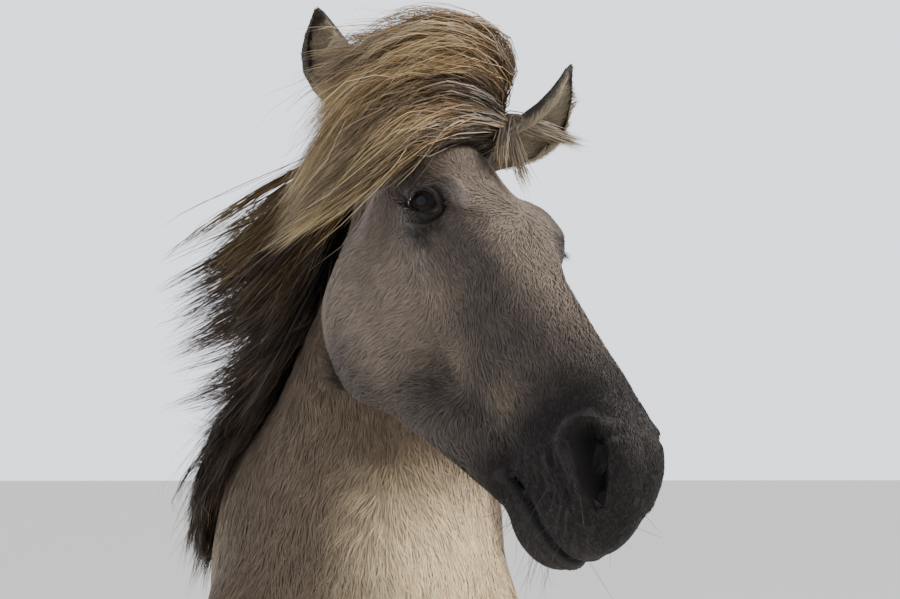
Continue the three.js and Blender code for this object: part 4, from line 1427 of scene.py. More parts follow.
class Shader:
    """A material under construction."""

    def __init__(self, name: str) -> None:
        """Makes an empty material with its output.

        Args:
            name: the material's name.
        """
        self.material = bpy.data.materials.new(name)
        self.material.use_nodes = True
        self.nodes = self.material.node_tree.nodes
        self.nodes.clear()
        self.output = self.nodes.new("ShaderNodeOutputMaterial")

    def node(
        self, kind: str, settings: dict[str, object], inputs: dict[int | str, object], out: int | str = 0
    ) -> Value:
        """Adds one node.

        Args:
            kind: the node's type.
            settings: its own settings, set first.
            inputs: numbers, colours or values for its sockets.
            out: which output is returned.

        Returns:
            The output as a value.
        """
        made = self.nodes.new(kind)
        for key, value in settings.items():
            setattr(made, key, value)
        for key, value in inputs.items():
            if isinstance(value, Value):
                self.material.node_tree.links.new(value.socket, made.inputs[key])
            else:
                made.inputs[key].default_value = value
        return Value(self, made.outputs[out])

    def object_place(self) -> Value:
        """Object coordinates, in metres."""
        return self.node("ShaderNodeTexCoord", {}, {}, "Object")

    def tint(self) -> Value:
        """The mesh's own painted colour."""
        return self.node("ShaderNodeVertexColor", {"layer_name": TINT}, {}, "Color")

    def noise(
        self, scale: float, detail: float = 3.0, rough: float = 0.55, stretch: Triple = (1, 1, 1)
    ) -> Value:
        """Noise on Object coordinates, from 0 to 1.

        Args:
            scale: how fine it is.
            detail: how many layers it has.
            rough: how strong its finer layers are.
            stretch: scale along each axis.

        Returns:
            The noise.
        """
        place = self.node("ShaderNodeMapping", {}, {"Vector": self.object_place(), "Scale": stretch})
        inputs = {"Vector": place, "Scale": scale, "Detail": detail, "Roughness": rough}
        return self.node("ShaderNodeTexNoise", {}, inputs, "Fac")

    def scaled(self, colour: Value, amount: Value) -> Value:
        """A colour made lighter or darker by a value."""
        return self.node("ShaderNodeVectorMath", {"operation": "SCALE"}, {0: colour, "Scale": amount})

    def blend(self, share: Value | float, first: object, second: object) -> Value:
        """A mix of two colours."""
        settings = {"data_type": "RGBA"}
        return self.node("ShaderNodeMix", settings, {0: share, 6: first, 7: second}, 2)

    def bump(self, height: Value, distance: float, strength: float) -> Value:
        """A bumped normal from a height."""
        inputs = {"Height": height, "Distance": distance, "Strength": strength}
        return self.node("ShaderNodeBump", {}, inputs, "Normal")

    def surface(self, inputs: dict[str, object]) -> Material:
        """Ends the material with one surface shader.

        Args:
            inputs: the shader's inputs.

        Returns:
            The material.
        """
        body = self.node("ShaderNodeBsdfPrincipled", {}, inputs, "BSDF")
        self.material.node_tree.links.new(body.socket, self.output.inputs["Surface"])
        return self.material


@dataclass(frozen=True)
class SkinFinish:
    """Skin under the coat: its painted colour, mottled, with a grain of lying hair."""

    roughness: float = 0.62
    grain: float = 900.0

    def material(self) -> Material:
        """Builds the material.

        Returns:
            The material.
        """
        s = Shader("skin_under_coat")
        mottle = s.noise(60, 3) * 0.5 + s.noise(self.grain, 3, 0.7) * 0.5
        colour = s.scaled(s.tint(), mottle * 0.7 + 0.68)
        height = s.noise(self.grain, 3, 0.7) + s.noise(170, 2) * 0.8
        inputs = {
            "Base Color": colour,
            "Roughness": self.roughness,
            "Specular IOR Level": 0.35,
            "Normal": s.bump(height, 0.0012, 0.5),
        }
        return s.surface(inputs)


@dataclass(frozen=True)
class HairFinish:
    """Hair of the coat, mane or tail: its painted colour, varied along and across the strands."""

    name: str
    roughness: float
    gloss: float
    vary: float
    sheen: float = 0.0

    def material(self) -> Material:
        """Builds the material.

        Returns:
            The material.
        """
        s = Shader(self.name)
        shade = s.noise(35, 2) * self.vary + s.noise(700, 2, 0.6) * self.vary
        inputs = {
            "Base Color": s.scaled(s.tint(), shade + (1 - self.vary)),
            "Roughness": self.roughness,
            "Specular IOR Level": self.gloss,
            "Sheen Weight": self.sheen,
            "Sheen Roughness": 0.4,
        }
        return s.surface(inputs)


@dataclass(frozen=True)
class HornFinish:
    """Hoof horn: growth rings round it and fine streaks down it."""

    dark: Triple = (74, 66, 58)
    pale: Triple = (128, 116, 100)

    def material(self) -> Material:
        """Builds the material.

        Returns:
            The material.
        """
        s = Shader("hoof_horn")
        rings = s.noise(9, 2, 0.5, (1.0, 1.0, 26.0))
        streaks = s.noise(42, 3, 0.6, (1.0, 1.0, 0.12))
        share = (rings * 0.6 + streaks * 0.7).between(0.45, 0.95)
        dark, pale = (*linear(self.dark), 1.0), (*linear(self.pale), 1.0)
        inputs = {
            "Base Color": s.blend(share, dark, pale),
            "Roughness": s.noise(60, 2) * 0.25 + 0.38,
            "Normal": s.bump(rings + streaks * 0.4, 0.0015, 0.6),
        }
        return s.surface(inputs)


@dataclass(frozen=True)
class EyeFinish:
    """A wet dark eye: its painted iris and pupil under a clear gloss."""

    roughness: float = 0.06

    def material(self) -> Material:
        """Builds the material.

        Returns:
            The material.
        """
        s = Shader("wet_eye")
        colour = s.scaled(s.tint(), s.noise(260, 3) * 0.8 + 0.6)
        inputs = {
            "Base Color": colour,
            "Roughness": self.roughness,
            "Specular IOR Level": 0.05,
            "Coat Weight": 0.2,
            "Coat Roughness": 0.06,
        }
        return s.surface(inputs)


@dataclass(frozen=True)
class FloorFinish:
    """A plain pale studio floor."""

    colour: Triple = (226, 226, 224)

    def material(self) -> Material:
        """Builds the material.

        Returns:
            The material.
        """
        s = Shader("studio_floor")
        tone = s.noise(1.4, 2) * 0.04 + 0.98
        pale = s.node("ShaderNodeRGB", {}, {})
        pale.socket.default_value = (*linear(self.colour), 1.0)
        return s.surface({"Base Color": s.scaled(pale, tone), "Roughness": 0.85})


# Ears, lids, eyes and hooves


def sheet(name: str, columns: int, rows: int) -> tuple[Object, Array, Array]:
    """A flat grid to be bent into shape.

    Args:
        name: the piece's name.
        columns: faces along its first share.
        rows: faces along its second share.

    Returns:
        The object, and each corner's two shares from 0 to 1.
    """
    bpy.ops.object.select_all(action="DESELECT")
    bpy.ops.mesh.primitive_grid_add(x_subdivisions=columns, y_subdivisions=rows, size=2.0)
    obj = bpy.context.object
    obj.name = name
    flat = raw_corners(obj)
    return obj, (flat[:, 0] + 1) / 2, (flat[:, 1] + 1) / 2


def ball(name: str, segments: int, rings: int) -> tuple[Object, Array]:
    """A round ball of radius 1 to be shaped.

    Args:
        name: the piece's name.
        segments: faces round it.
        rings: rings from pole to pole.

    Returns:
        The object, and its corners.
    """
    bpy.ops.object.select_all(action="DESELECT")
    bpy.ops.mesh.primitive_uv_sphere_add(segments=segments, ring_count=rings)
    obj = bpy.context.object
    obj.name = name
    return obj, raw_corners(obj)


def close_up(obj: Object) -> None:
    """Merges corners that lie on one another and turns all faces out.

    Args:
        obj: the piece.
    """
    only(obj)
    bpy.ops.object.mode_set(mode="EDIT")
    bpy.ops.mesh.select_all(action="SELECT")
    bpy.ops.mesh.remove_doubles(threshold=WELD)
    bpy.ops.mesh.normals_make_consistent(inside=False)
    bpy.ops.object.mode_set(mode="OBJECT")
    obj.data.polygons.foreach_set("use_smooth", np.ones(len(obj.data.polygons), bool))


EAR_PROFILE = np.array(
    [
        (0.0, 26, 24, 0.0, 0.0),
        (0.16, 31, 27, 0.1, 0.36),
        (0.3, 37, 28, 0.75, 0.73),
        (0.44, 40, 26, 1.0, 1.0),
        (0.58, 38, 22, 1.0, 1.0),
        (0.71, 31, 17, 1.0, 0.8),
        (0.83, 21, 12, 0.95, 0.5),
        (0.92, 12, 7, 0.8, 0.2),
        (0.99, 3, 2.4, 0.4, 0.0),
    ],
    float,
)


@dataclass
class EarShell:
    """An ear: a thin cupped shell whose rims curl in, on a closed root."""

    ear: Ear
    rows: int = 44
    columns: int = 72
    wall: float = 3.4
    arc: float = 118.0
    obj: Object | None = None

    def axes(self) -> tuple[Array, Array, Array, Array]:
        """Root, whole axis, front and across directions in the horse's frame.

        Returns:
            The root and the three directions.
        """
        root, tip = HEAD.out(np.array(self.ear.base)), HEAD.out(np.array(self.ear.tip))
        axis = tip - root
        up = axis / np.linalg.norm(axis)
        front = HEAD.turn(np.array(self.ear.hollow, float))
        front -= up * (front @ up)
        front /= np.linalg.norm(front)
        return root, axis, front, np.cross(up, front)

    def place(self, u: Array, v: Array) -> Array:
        """Places round (u) and up (v) the shell.

        Args:
            u: shares round it, the outside first.
            v: shares up it.

        Returns:
            The places, in the horse's frame.
        """
        root, axis, front, across = self.axes()
        marks = EAR_PROFILE[:, 0]
        t = v * marks[-1]
        width, depth, cup = (np.interp(t, marks, EAR_PROFILE[:, k]) for k in (1, 2, 3))
        width = width * self.ear.wide
        wall = np.minimum(self.wall, depth * 0.5)
        around = np.where(u < 0.5, 2 * u, 2 - 2 * u)
        angle = np.radians(mix(-self.arc, self.arc, around))
        arc = math.radians(self.arc)
        flat = -depth * math.cos(arc) + wall + 3 * np.cos(angle * 0.7)
        hollowed = -(depth - wall) * np.cos(angle) + wall * 0.4
        even = angle / arc * math.sin(arc)
        inner_side = (width - wall) * mix(even, np.sin(angle), cup)
        inner_front = mix(flat, hollowed, cup)
        outer_side, outer_front = width * np.sin(angle), -depth * np.cos(angle)
        curl = 4.0 * step(np.abs(angle), 1.5, 2.1) * cup
        outer = u < 0.5
        side = np.where(outer, outer_side, inner_side) * (1 - 0.05 * curl)
        ahead = np.where(outer, outer_front, inner_front)
        ridges = 1.1 * np.sin(angle * 9) * step(np.abs(angle), 0.2, 0.5) * cup * (1 - v)
        ahead = ahead + np.where(outer, 0.0, ridges)
        centre = root + t[:, None] * axis + self.bowed(t)
        return centre + side[:, None] * across + ahead[:, None] * front

    def bowed(self, t: Array) -> Array:
        """How far the ear's middle is bowed off its straight axis at heights t."""
        share = np.interp(t, EAR_PROFILE[:, 0], EAR_PROFILE[:, 4])
        return share[:, None] * HEAD.turn(np.array(self.ear.bow, float))

    def build(self) -> None:
        """Makes the ear's mesh."""
        self.obj, u, v = sheet(f"ear_{self.ear.side.word}_skin", self.columns, self.rows)
        u = np.where(u > 0.999, 0.0, u)
        move_corners(self.obj, self.place(u, v))
        close_up(self.obj)

    def rim(self, p: Array) -> Array:
        """Share of the dark rim that points have: its edges and its tip.

        Args:
            p: points in the horse's frame, one a row.

        Returns:
            The shares.
        """
        root, axis, _, across = self.axes()
        t = (p - root) @ axis / (axis @ axis)
        side = np.abs((p - root - self.bowed(t)) @ across)
        width = np.interp(t, EAR_PROFILE[:, 0], EAR_PROFILE[:, 1]) * self.ear.wide
        edge = step(side / width, 0.74, 0.97) * step(t, 0.3, 0.5)
        return np.maximum(edge, step(t, 0.8, 0.93))

    def height(self, p: Array, low: float, reach: float) -> tuple[Array, Array]:
        """How far up the ear points lie.

        Args:
            p: points in the horse's frame.
            low: the least share of its height that counts as the ear.
            reach: how far from its axis a point may be.

        Returns:
            Shares of its height, and whether each point is on the ear.
        """
        root, axis, front, across = self.axes()
        d = p - root
        t = d @ axis / np.linalg.norm(axis) ** 2
        d = d - self.bowed(t)
        off = np.hypot(d @ across, d @ front)
        return t, (t > low) & (t < 1.05) & (off < reach)


@dataclass
class LidPair:
    """Both lids of one eye: a band from the edge on the ball to the brow, with its crease."""

    side: Side
    columns: int = 96
    half_length: float = 24.5
    rise: float = 15.0
    fall: float = 11.0
    coat_height: float = 3.2
    offsets: tuple[float, ...] = (-2.2, -0.6, 0.0, 0.7, 1.8, 3.2, 4.8, 6.6, 8.4, 10.4, 12.6, 15.0, 17.6, 20.5)
    obj: Object | None = None

    def edge(self, angle: Array) -> Array:
        """The opening's edge in the eye's plane, front corner at angle 0.

        Args:
            angle: the way round, in radians.

        Returns:
            Places along and across the lids.
        """
        up = np.sin(angle)
        height = np.where(up > 0, self.rise, self.fall)
        lean = 1.5 * up
        return np.column_stack([self.half_length * np.cos(angle) - lean, height * up * np.abs(up) ** 0.15])

    def heights(self, flat: Array) -> tuple[Array, Array]:
        """How high the ball and the bare skin stand over places of the eye's plane.

        Args:
            flat: the places, along and across the lids.

        Returns:
            The ball's heights and the skin's.
        """
        rx, ry, rz = FACE.eye_radii
        ball = rz * np.sqrt(np.maximum(1 - (flat[:, 0] / rx) ** 2 - (flat[:, 1] / ry) ** 2, 0.0))
        axes = FACE.eye_axes()
        base = np.array(FACE.eye) + flat @ axes[:2]
        marks = np.arange(-44.0, 46.0, 2.0)
        mark, before, after = out_of(
            lambda q: Flesh.head(HEAD.out(q), True, False) + self.coat_height, base, axes[2], marks
        )
        skin = marks[mark] - 2.0 * np.clip(after / np.maximum(after - before, 0.5), 0, 1)
        return ball, skin

    def place(self, u: Array, v: Array) -> Array:
        """Places round (u) the opening and out (v) from its edge, in the horse's frame.

        Args:
            u: shares round the opening.
            v: shares out from its edge.

        Returns:
            The places.
        """
        angle = 2 * math.pi * u
        offset = np.interp(v, np.linspace(0, 1, len(self.offsets)), self.offsets)
        ahead = self.edge(angle + 0.01) - self.edge(angle - 0.01)
        normal = unit(np.column_stack([ahead[:, 1], -ahead[:, 0]]))
        normal = unit(mix(normal, unit(self.edge(angle)), 0.35 * step(offset, 0, 12)[:, None]))
        flat = self.edge(angle) + normal * offset[:, None]
        ball, skin = self.heights(flat)
        upper = step(np.sin(angle), -0.1, 0.5)
        rim = ball + np.interp(offset, (-2.2, -0.6, 0.0, 0.7, 1.8, 3.2), (0.2, 0.7, 1.9, 2.9, 3.3, 3.5))
        swell = 1.6 * bump(offset - 4.5, 3.0) * upper + 1.1 * bump(offset - 4.0, 2.4) * (1 - upper)
        height = mix(rim, skin + 0.9, step(offset, 3.0, 15.0)) + swell
        height -= 2.1 * bump(offset - 9.6, 1.7) * upper + 1.2 * bump(offset - 8.4, 1.5) * (1 - upper)
        height += 1.2 * bump(offset - 12.6, 2.4) * upper
        height = np.where(offset > 20, skin - 1.2, height)
        return FACE.to_eye(flat, height, self.side)

    def build(self) -> None:
        """Makes the lids' mesh."""
        self.obj, u, v = sheet(f"lids_{self.side.word}", self.columns, len(self.offsets) - 1)
        u = np.where(u > 0.999, 0.0, u)
        move_corners(self.obj, self.place(u, v))
        close_up(self.obj)

    def lash_roots(self, angle: Array) -> tuple[Array, Array]:
        """Roots along the edge and the way the lashes point there.

        Args:
            angle: the way round, in radians.

        Returns:
            The roots and the ways.
        """
        flat = self.edge(angle)
        ball, _ = self.heights(flat)
        away = unit(np.column_stack([flat * 0.6, np.full(len(flat), 16.0)])) @ FACE.eye_axes()
        return FACE.to_eye(flat, ball + 2.6, self.side), HEAD.turn(away * np.array([1, self.side.value, 1]))


@dataclass
class EyeBall:
    """One eye: a slightly flattened ball with a bulging cornea, an iris and a level pupil."""

    side: Side
    segments: int = 80
    rings: int = 56
    iris: float = 16.5
    pupil: tuple[float, float] = (9.0, 5.0)
    bulge: float = 1.8
    inner: Triple = (20, 15, 13)
    outer: Triple = (38, 28, 22)
    ring: Triple = (16, 12, 11)
    white: Triple = (92, 78, 68)
    hole: Triple = (6, 6, 8)

    def build(self, finish: Material) -> None:
        """Makes the eye's piece.

        Args:
            finish: its material.
        """
        obj, local = ball(f"eyeball_{self.side.word}", self.segments, self.rings)
        front = local[:, 2] > 0
        local *= np.array(FACE.eye_radii)
        out = np.hypot(local[:, 0], local[:, 1])
        local[:, 2] += np.where(front, self.bulge * bump(out, self.iris * 0.8), 0.0)
        q = np.array(FACE.eye) + local @ FACE.eye_axes()
        move_corners(obj, HEAD.out(q * np.array([1, self.side.value, 1])))
        close_up(obj)
        across, up = self.pupil
        in_pupil = 1 - step(np.hypot(local[:, 0] / across, local[:, 1] / up), 0.8, 1.2)
        turn = np.arctan2(local[:, 1], local[:, 0])
        rays = 0.5 + 0.5 * np.sin(turn * 46 + 3 * np.sin(turn * 7))
        layers = (
            (self.outer, rays * step(out, 4, 15)),
            (self.ring, step(out, self.iris - 2.5, self.iris)),
            (self.white, step(out, self.iris + 1.5, self.iris + 5) * 0.7),
            (self.hole, in_pupil * front),
        )
        paint(obj.data, laid(linear(self.inner), *((linear(tone), share[:, None]) for tone, share in layers)))
        finish_piece(obj, finish, EYE_SLOT, f"eye_{self.side.word}")


@dataclass(frozen=True)
class Sole:
    """A hoof's ground face: its reach to the front, back and sides, and how far its middle leads."""

    front: float = 66.0
    back: float = 60.0
    half: float = 58.0
    lead: float = -16.0


@dataclass
class Hoof:
    """One hoof: a sloping horn wall from the coronet to a flat sole."""

    leg: Leg
    sole: Sole = Sole()
    slope: float = 24.0
    segments: int = 96
    rings: int = 40
    top_share: float = 0.18
    sole_share: float = 0.86

    def build(self, finish: Material) -> None:
        """Makes the hoof's piece.

        Args:
            finish: its material.
        """
        node = f"{self.leg.name}hoof_{self.leg.side.word}"
        obj, round_way = ball(f"{node}_horn", self.segments, self.rings)
        down = np.arccos(np.clip(round_way[:, 2], -1, 1)) / math.pi
        turn = np.arctan2(round_way[:, 1], round_way[:, 0])
        way = np.column_stack([np.cos(turn), np.sin(turn)])
        centre = self.leg.place(self.leg.foot)
        tilt = math.radians(self.slope)
        coronet = self.coronet_radius(way, centre, tilt)
        top = np.column_stack([way * coronet[:, None], way[:, 1] * coronet * math.tan(tilt)]) + centre
        reach = np.where(way[:, 1] < 0, self.sole.front, self.sole.back)
        sideways, ahead = way[:, 0] * self.sole.half, way[:, 1] * reach + self.sole.lead
        ground = np.column_stack([sideways, ahead, np.zeros(len(way))])
        ground[:, :2] += centre[:2]
        wall = np.clip((down - self.top_share) / (self.sole_share - self.top_share), 0, 1)
        spots = mix(top, ground, wall[:, None])
        swell = 1.6 * np.sin(math.pi * wall) + 0.5 * np.sin(wall * 34) * step(wall, 0.02, 0.2)
        swell += 1.8 * bump(wall, 0.07)
        spots[:, :2] += way * swell[:, None]
        inner = np.clip(down / self.top_share, 0, 1)[:, None]
        spots = np.where(down[:, None] < self.top_share, mix(centre, spots, inner), spots)
        middle = np.array([centre[0], centre[1] + self.sole.lead, 0.0])
        under = np.clip((1 - down) / (1 - self.sole_share), 0, 1)[:, None]
        spots = np.where(down[:, None] > self.sole_share, mix(middle, spots, under), spots)
        spots[:, 2] = np.maximum(spots[:, 2], 0.0)
        move_corners(obj, spots)
        close_up(obj)
        finish_piece(obj, finish, HORN_SLOT, node)

    def coronet_radius(self, way: Array, centre: Array, tilt: float) -> Array:
        """The leg's own radius at the coronet, each way round.

        Args:
            way: the ways, as level unit vectors.
            centre: the coronet's middle.
            tilt: how far the coronet slopes, in radians.

        Returns:
            The radii.
        """
        reach = np.arange(20.0, 76.0, 2.0)
        ring = np.column_stack([way, way[:, 1] * math.tan(tilt)])
        mark, before, after = out_of(lambda p: Flesh.leg(self.leg, p), centre, ring, reach)
        return reach[mark] - 2.0 * after / np.maximum(after - before, 1e-6) - 0.5


# Long hair's guides


@dataclass(frozen=True)
class CrestKey:
    """A place along the neck: its middle, the neck's run there and its lateral axis."""

    middle: Triple
    run: Triple
    lateral: Triple


SLOPE = math.radians(39)
CREST_KEYS: tuple[CrestKey, ...] = (
    CrestKey((0, -572, 1180), (0, -math.cos(SLOPE), math.sin(SLOPE)), (-1, 0, 0)),
    CrestKey((2, -600, 1290), (0.02, -0.66, 0.74), (-1, -0.05, 0)),
    CrestKey((8, -672, 1385), (0.06, -0.66, 0.74), (-0.99, -0.12, 0)),
    CrestKey((16, -752, 1475), (0.12, -0.7, 0.68), (-0.97, -0.22, 0)),
    CrestKey(tuple(HEAD.out((16, 0, -112))), (0.2, -0.74, 0.62), (-0.91, -0.4, 0.05)),
    CrestKey(tuple(HEAD.out((24, 0, -66))), (0.26, -0.8, 0.5), (-0.91, -0.4, 0.05)),
)


@dataclass
class Crest:
    """The line on top of the neck that the mane grows from, poll first."""

    rings: int = 41
    first: float = 2.0
    last: float = 35.0
    rows: dict[str, Array] = field(default_factory=dict)

    def build(self) -> None:
        """Finds the line's points and directions on the flesh."""
        t = np.linspace(0.0, 1.0, self.rings)
        rows = (np.array([getattr(key, name) for key in CREST_KEYS], float) for name in vars(CREST_KEYS[0]))
        middle, run, lateral = (through(row, t) for row in rows)
        run = unit(run)
        side = unit(lateral - run * np.sum(lateral * run, axis=1, keepdims=True))
        up = np.cross(side, run)
        reach = np.arange(0.0, 420.0, 3.0)
        mark, before, after = out_of(Flesh.body, middle, up, reach)
        far = reach[mark - 1] + 3.0 * before / (before - after)
        self.rows = {"point": middle + up * far[:, None], "up": up, "side": side, "back": -run}

    def at(self, s: Array) -> dict[str, Array]:
        """Point, up, side and back directions at shares from the poll, 0, to the withers, 1.

        Args:
            s: the shares.

        Returns:
            The four, by name.
        """
        place = mix(self.first, self.last, 1.0 - np.clip(s, 0, 1))
        low = np.minimum(place.astype(int), self.rings - 2)
        share = (place - low)[:, None]
        return {name: mix(row[low], row[low + 1], share) for name, row in self.rows.items()}


def head_and_body(p: Array) -> Array:
    """Distance of head and body without fillets, which long hair is kept clear of."""
    return np.minimum(Flesh.body(p), Flesh.head(p))


@dataclass
class GuideGrid:
    """Hair paths at the knots of a grid over two shares, which every strand's own path is mixed from."""

    paths: Array

    def at(self, u: Array, v: Array) -> Array:
        """Paths at shares u and v, shape (n, k, 3).

        Args:
            u: each path's first share.
            v: each path's second share.

        Returns:
            The paths.
        """
        rows, columns = self.paths.shape[:2]
        x, y = np.clip(u, 0, 1) * (rows - 1), np.clip(v, 0, 1) * (columns - 1)
        i, j = np.minimum(x.astype(int), rows - 2), np.minimum(y.astype(int), columns - 2)
        fx, fy = (x - i)[:, None, None], (y - j)[:, None, None]
        upper = mix(self.paths[i, j], self.paths[i + 1, j], fx)
        lower = mix(self.paths[i, j + 1], self.paths[i + 1, j + 1], fx)
        return mix(upper, lower, fy)


def guides_over(rows: int, columns: int, path: Callable[[Array, Array], Array]) -> GuideGrid:
    """Works a grid of guides out.

    Args:
        rows: knots along the first share.
        columns: knots along the second share.
        path: gives the paths at lists of shares.

    Returns:
        The grid.
    """
    u, v = np.meshgrid(np.linspace(0, 1, rows), np.linspace(0, 1, columns), indexing="ij")
    paths = path(u.ravel(), v.ravel())
    return GuideGrid(paths.reshape(rows, columns, *paths.shape[1:]))


# Joined strands


def blade_faces(count: int, rows: int) -> Array:
    """Triangles of many blades that each have this many rows, the last row a single corner.

    Args:
        count: how many blades.
        rows: rows of each one.

    Returns:
        The triangles.
    """
    one = []
    for k in range(rows - 2):
        low = 2 * k
        one += [(low, low + 1, low + 3), (low, low + 3, low + 2)]
    one.append((2 * rows - 4, 2 * rows - 3, 2 * rows - 2))
    stride = 2 * rows - 1
    return (np.array(one)[None] + (np.arange(count) * stride)[:, None, None]).reshape(-1, 3)


class Chart:
    """An unwrap of the skin's own shape.

    Tubes round the trunk, the head and each leg are cut open and laid flat.
    """

    patch = 0.003

    @staticmethod
    def at(p: Array) -> Array:
        """Places on the unwrap, from 0 to 1, of points in the horse's frame.

        Args:
            p: points in the horse's frame, one a row.

        Returns:
            The places, two numbers each.
        """
        q = HEAD.into(p)
        x, y, z = p.T
        round_trunk = np.arctan2(x, z - 1060) / (2 * math.pi) + 0.5
        spots = np.column_stack([0.02 + 0.94 * np.clip((y + 1050) / 1900, 0, 1), 0.52 + 0.44 * round_trunk])
        on_head = Flesh.head(p) < Flesh.body(p)
        round_head = np.arctan2(q[:, 1], q[:, 2] + 95) / (2 * math.pi) + 0.5
        spots[on_head, 0] = (0.02 + 0.44 * np.clip((q[:, 0] + 90) / 680, 0, 1))[on_head]
        spots[on_head, 1] = (0.02 + 0.46 * round_head)[on_head]
        for k, leg in enumerate(LEGS):
            near = (z < 800) & (x * leg.side.value > 0) & ((y < 60) == (leg.name == "fore"))
            middle = leg.place(leg.shank)
            turn = np.arctan2(x - middle[0], y - middle[1]) / (2 * math.pi) + 0.5
            spots[near, 0] = (0.5 + 0.12 * k + 0.11 * turn)[near]
            spots[near, 1] = (0.02 + 0.46 * np.clip(z / 800, 0, 1))[near]
        return spots

    @staticmethod
    def of_blades(roots: Array, rows: int) -> Array:
        """Chart places of every corner of blades: a small patch each, at its root's place.

        Args:
            roots: the blades' roots.
            rows: rows of each blade.

        Returns:
            The places, blade by blade.
        """
        spot = Chart.at(roots)
        up = np.linspace(0, Chart.patch, rows)
        corners = np.array([(side * Chart.patch, up[k]) for k in range(rows - 1) for side in (0.0, 1.0)])
        corners = np.vstack([corners, [(Chart.patch / 2, Chart.patch)]])
        return (spot[:, None] + corners[None]).reshape(-1, 2)


BLADE_SHAPE = np.array([0.62, 0.95, 1.0, 0.98, 0.92, 0.84, 0.74, 0.6, 0.42, 0.2])


def blades(name: str, paths: Array, across: Array, widths: Array, colours: Array) -> Object:
    """One joined mesh of thin tapered blades.

    Args:
        name: the piece's name.
        paths: each blade's middle line, shape (n, rows, 3).
        across: unit vectors over the blades, same shape.
        widths: greatest width of each blade.
        colours: linear colour along each blade, same shape as paths.

    Returns:
        The object.
    """
    count, rows, _ = paths.shape
    profile = np.interp(np.arange(rows - 1) / (rows - 1), np.linspace(0, 1, len(BLADE_SHAPE)), BLADE_SHAPE)
    half = across[:, :-1] * (widths[:, None] * profile[None] / 2)[..., None]
    pairs = np.stack([paths[:, :-1] - half, paths[:, :-1] + half], axis=2).reshape(count, -1, 3)
    points = np.concatenate([pairs, paths[:, -1:]], axis=1).reshape(-1, 3)
    shades = np.concatenate([np.repeat(colours[:, :-1], 2, axis=1), colours[:, -1:]], axis=1).reshape(-1, 3)
    return new_mesh(name, points, blade_faces(count, rows), shades, Chart.of_blades(paths[:, 0], rows))


def rolled(paths: Array, flat: Array, roll: Array) -> Array:
    """Directions over blades: as near flat as can be, rolled about the run.

    Args:
        paths: middle lines, shape (n, rows, 3).
        flat: directions that the blades' flats are laid by, broadcast to the same shape.
        roll: turn of each blade about its own run, in radians.

    Returns:
        Unit vectors, same shape as paths.
    """
    run = unit(np.gradient(paths, axis=1))
    level = unit(flat - run * np.sum(flat * run, axis=2, keepdims=True))
    turn = roll[:, None, None]
    return level * np.cos(turn) + np.cross(run, level) * np.sin(turn)


def root_to_tip(rows: int) -> Array:
    """Shares from root to tip, shaped to go with paths."""
    return np.linspace(0, 1, rows)[None, :, None]


def drift(rng: Rng, count: int) -> Array:
    """One random vector for each of many paths."""
    return rng.normal(size=(count, 1, 3))


def uneven(rng: Rng, count: int, rows: int, spread: float) -> Array:
    """Shares from root to tip for the colours of many paths, each shifted a little."""
    return np.clip(np.linspace(0, 1, rows)[None] + rng.normal(0, spread, (count, 1)), 0, 1)


def turned_any_way(rng: Rng, paths: Array) -> Array:
    """Directions over blades whose flats face any way."""
    return rolled(paths, drift(rng, len(paths)) * np.ones((1, paths.shape[1], 1)), np.zeros(len(paths)))


def held_in(values: Array, least: float, soft: float = 40.0) -> Array:
    """Values squeezed so that none is under the least, starting a soft reach above it."""
    over = np.maximum(least + soft - values, 0.0)
    return np.where(over > 0, least + soft - soft * over / (soft + over), values)


def stretched(paths: Array, length: Array) -> Array:
    """Paths cut short, or run on, to a share of their own length.

    Args:
        paths: the paths.
        length: the share for each path.

    Returns:
        The new paths.
    """
    rows = paths.shape[1]
    at = np.linspace(0, 1, rows)[None] * length[:, None] * (rows - 1)
    low = np.clip(at.astype(int), 0, rows - 2)
    w = (at - low)[..., None]
    pick = np.arange(len(paths))[:, None]
    return mix(paths[pick, low], paths[pick, low + 1], w)


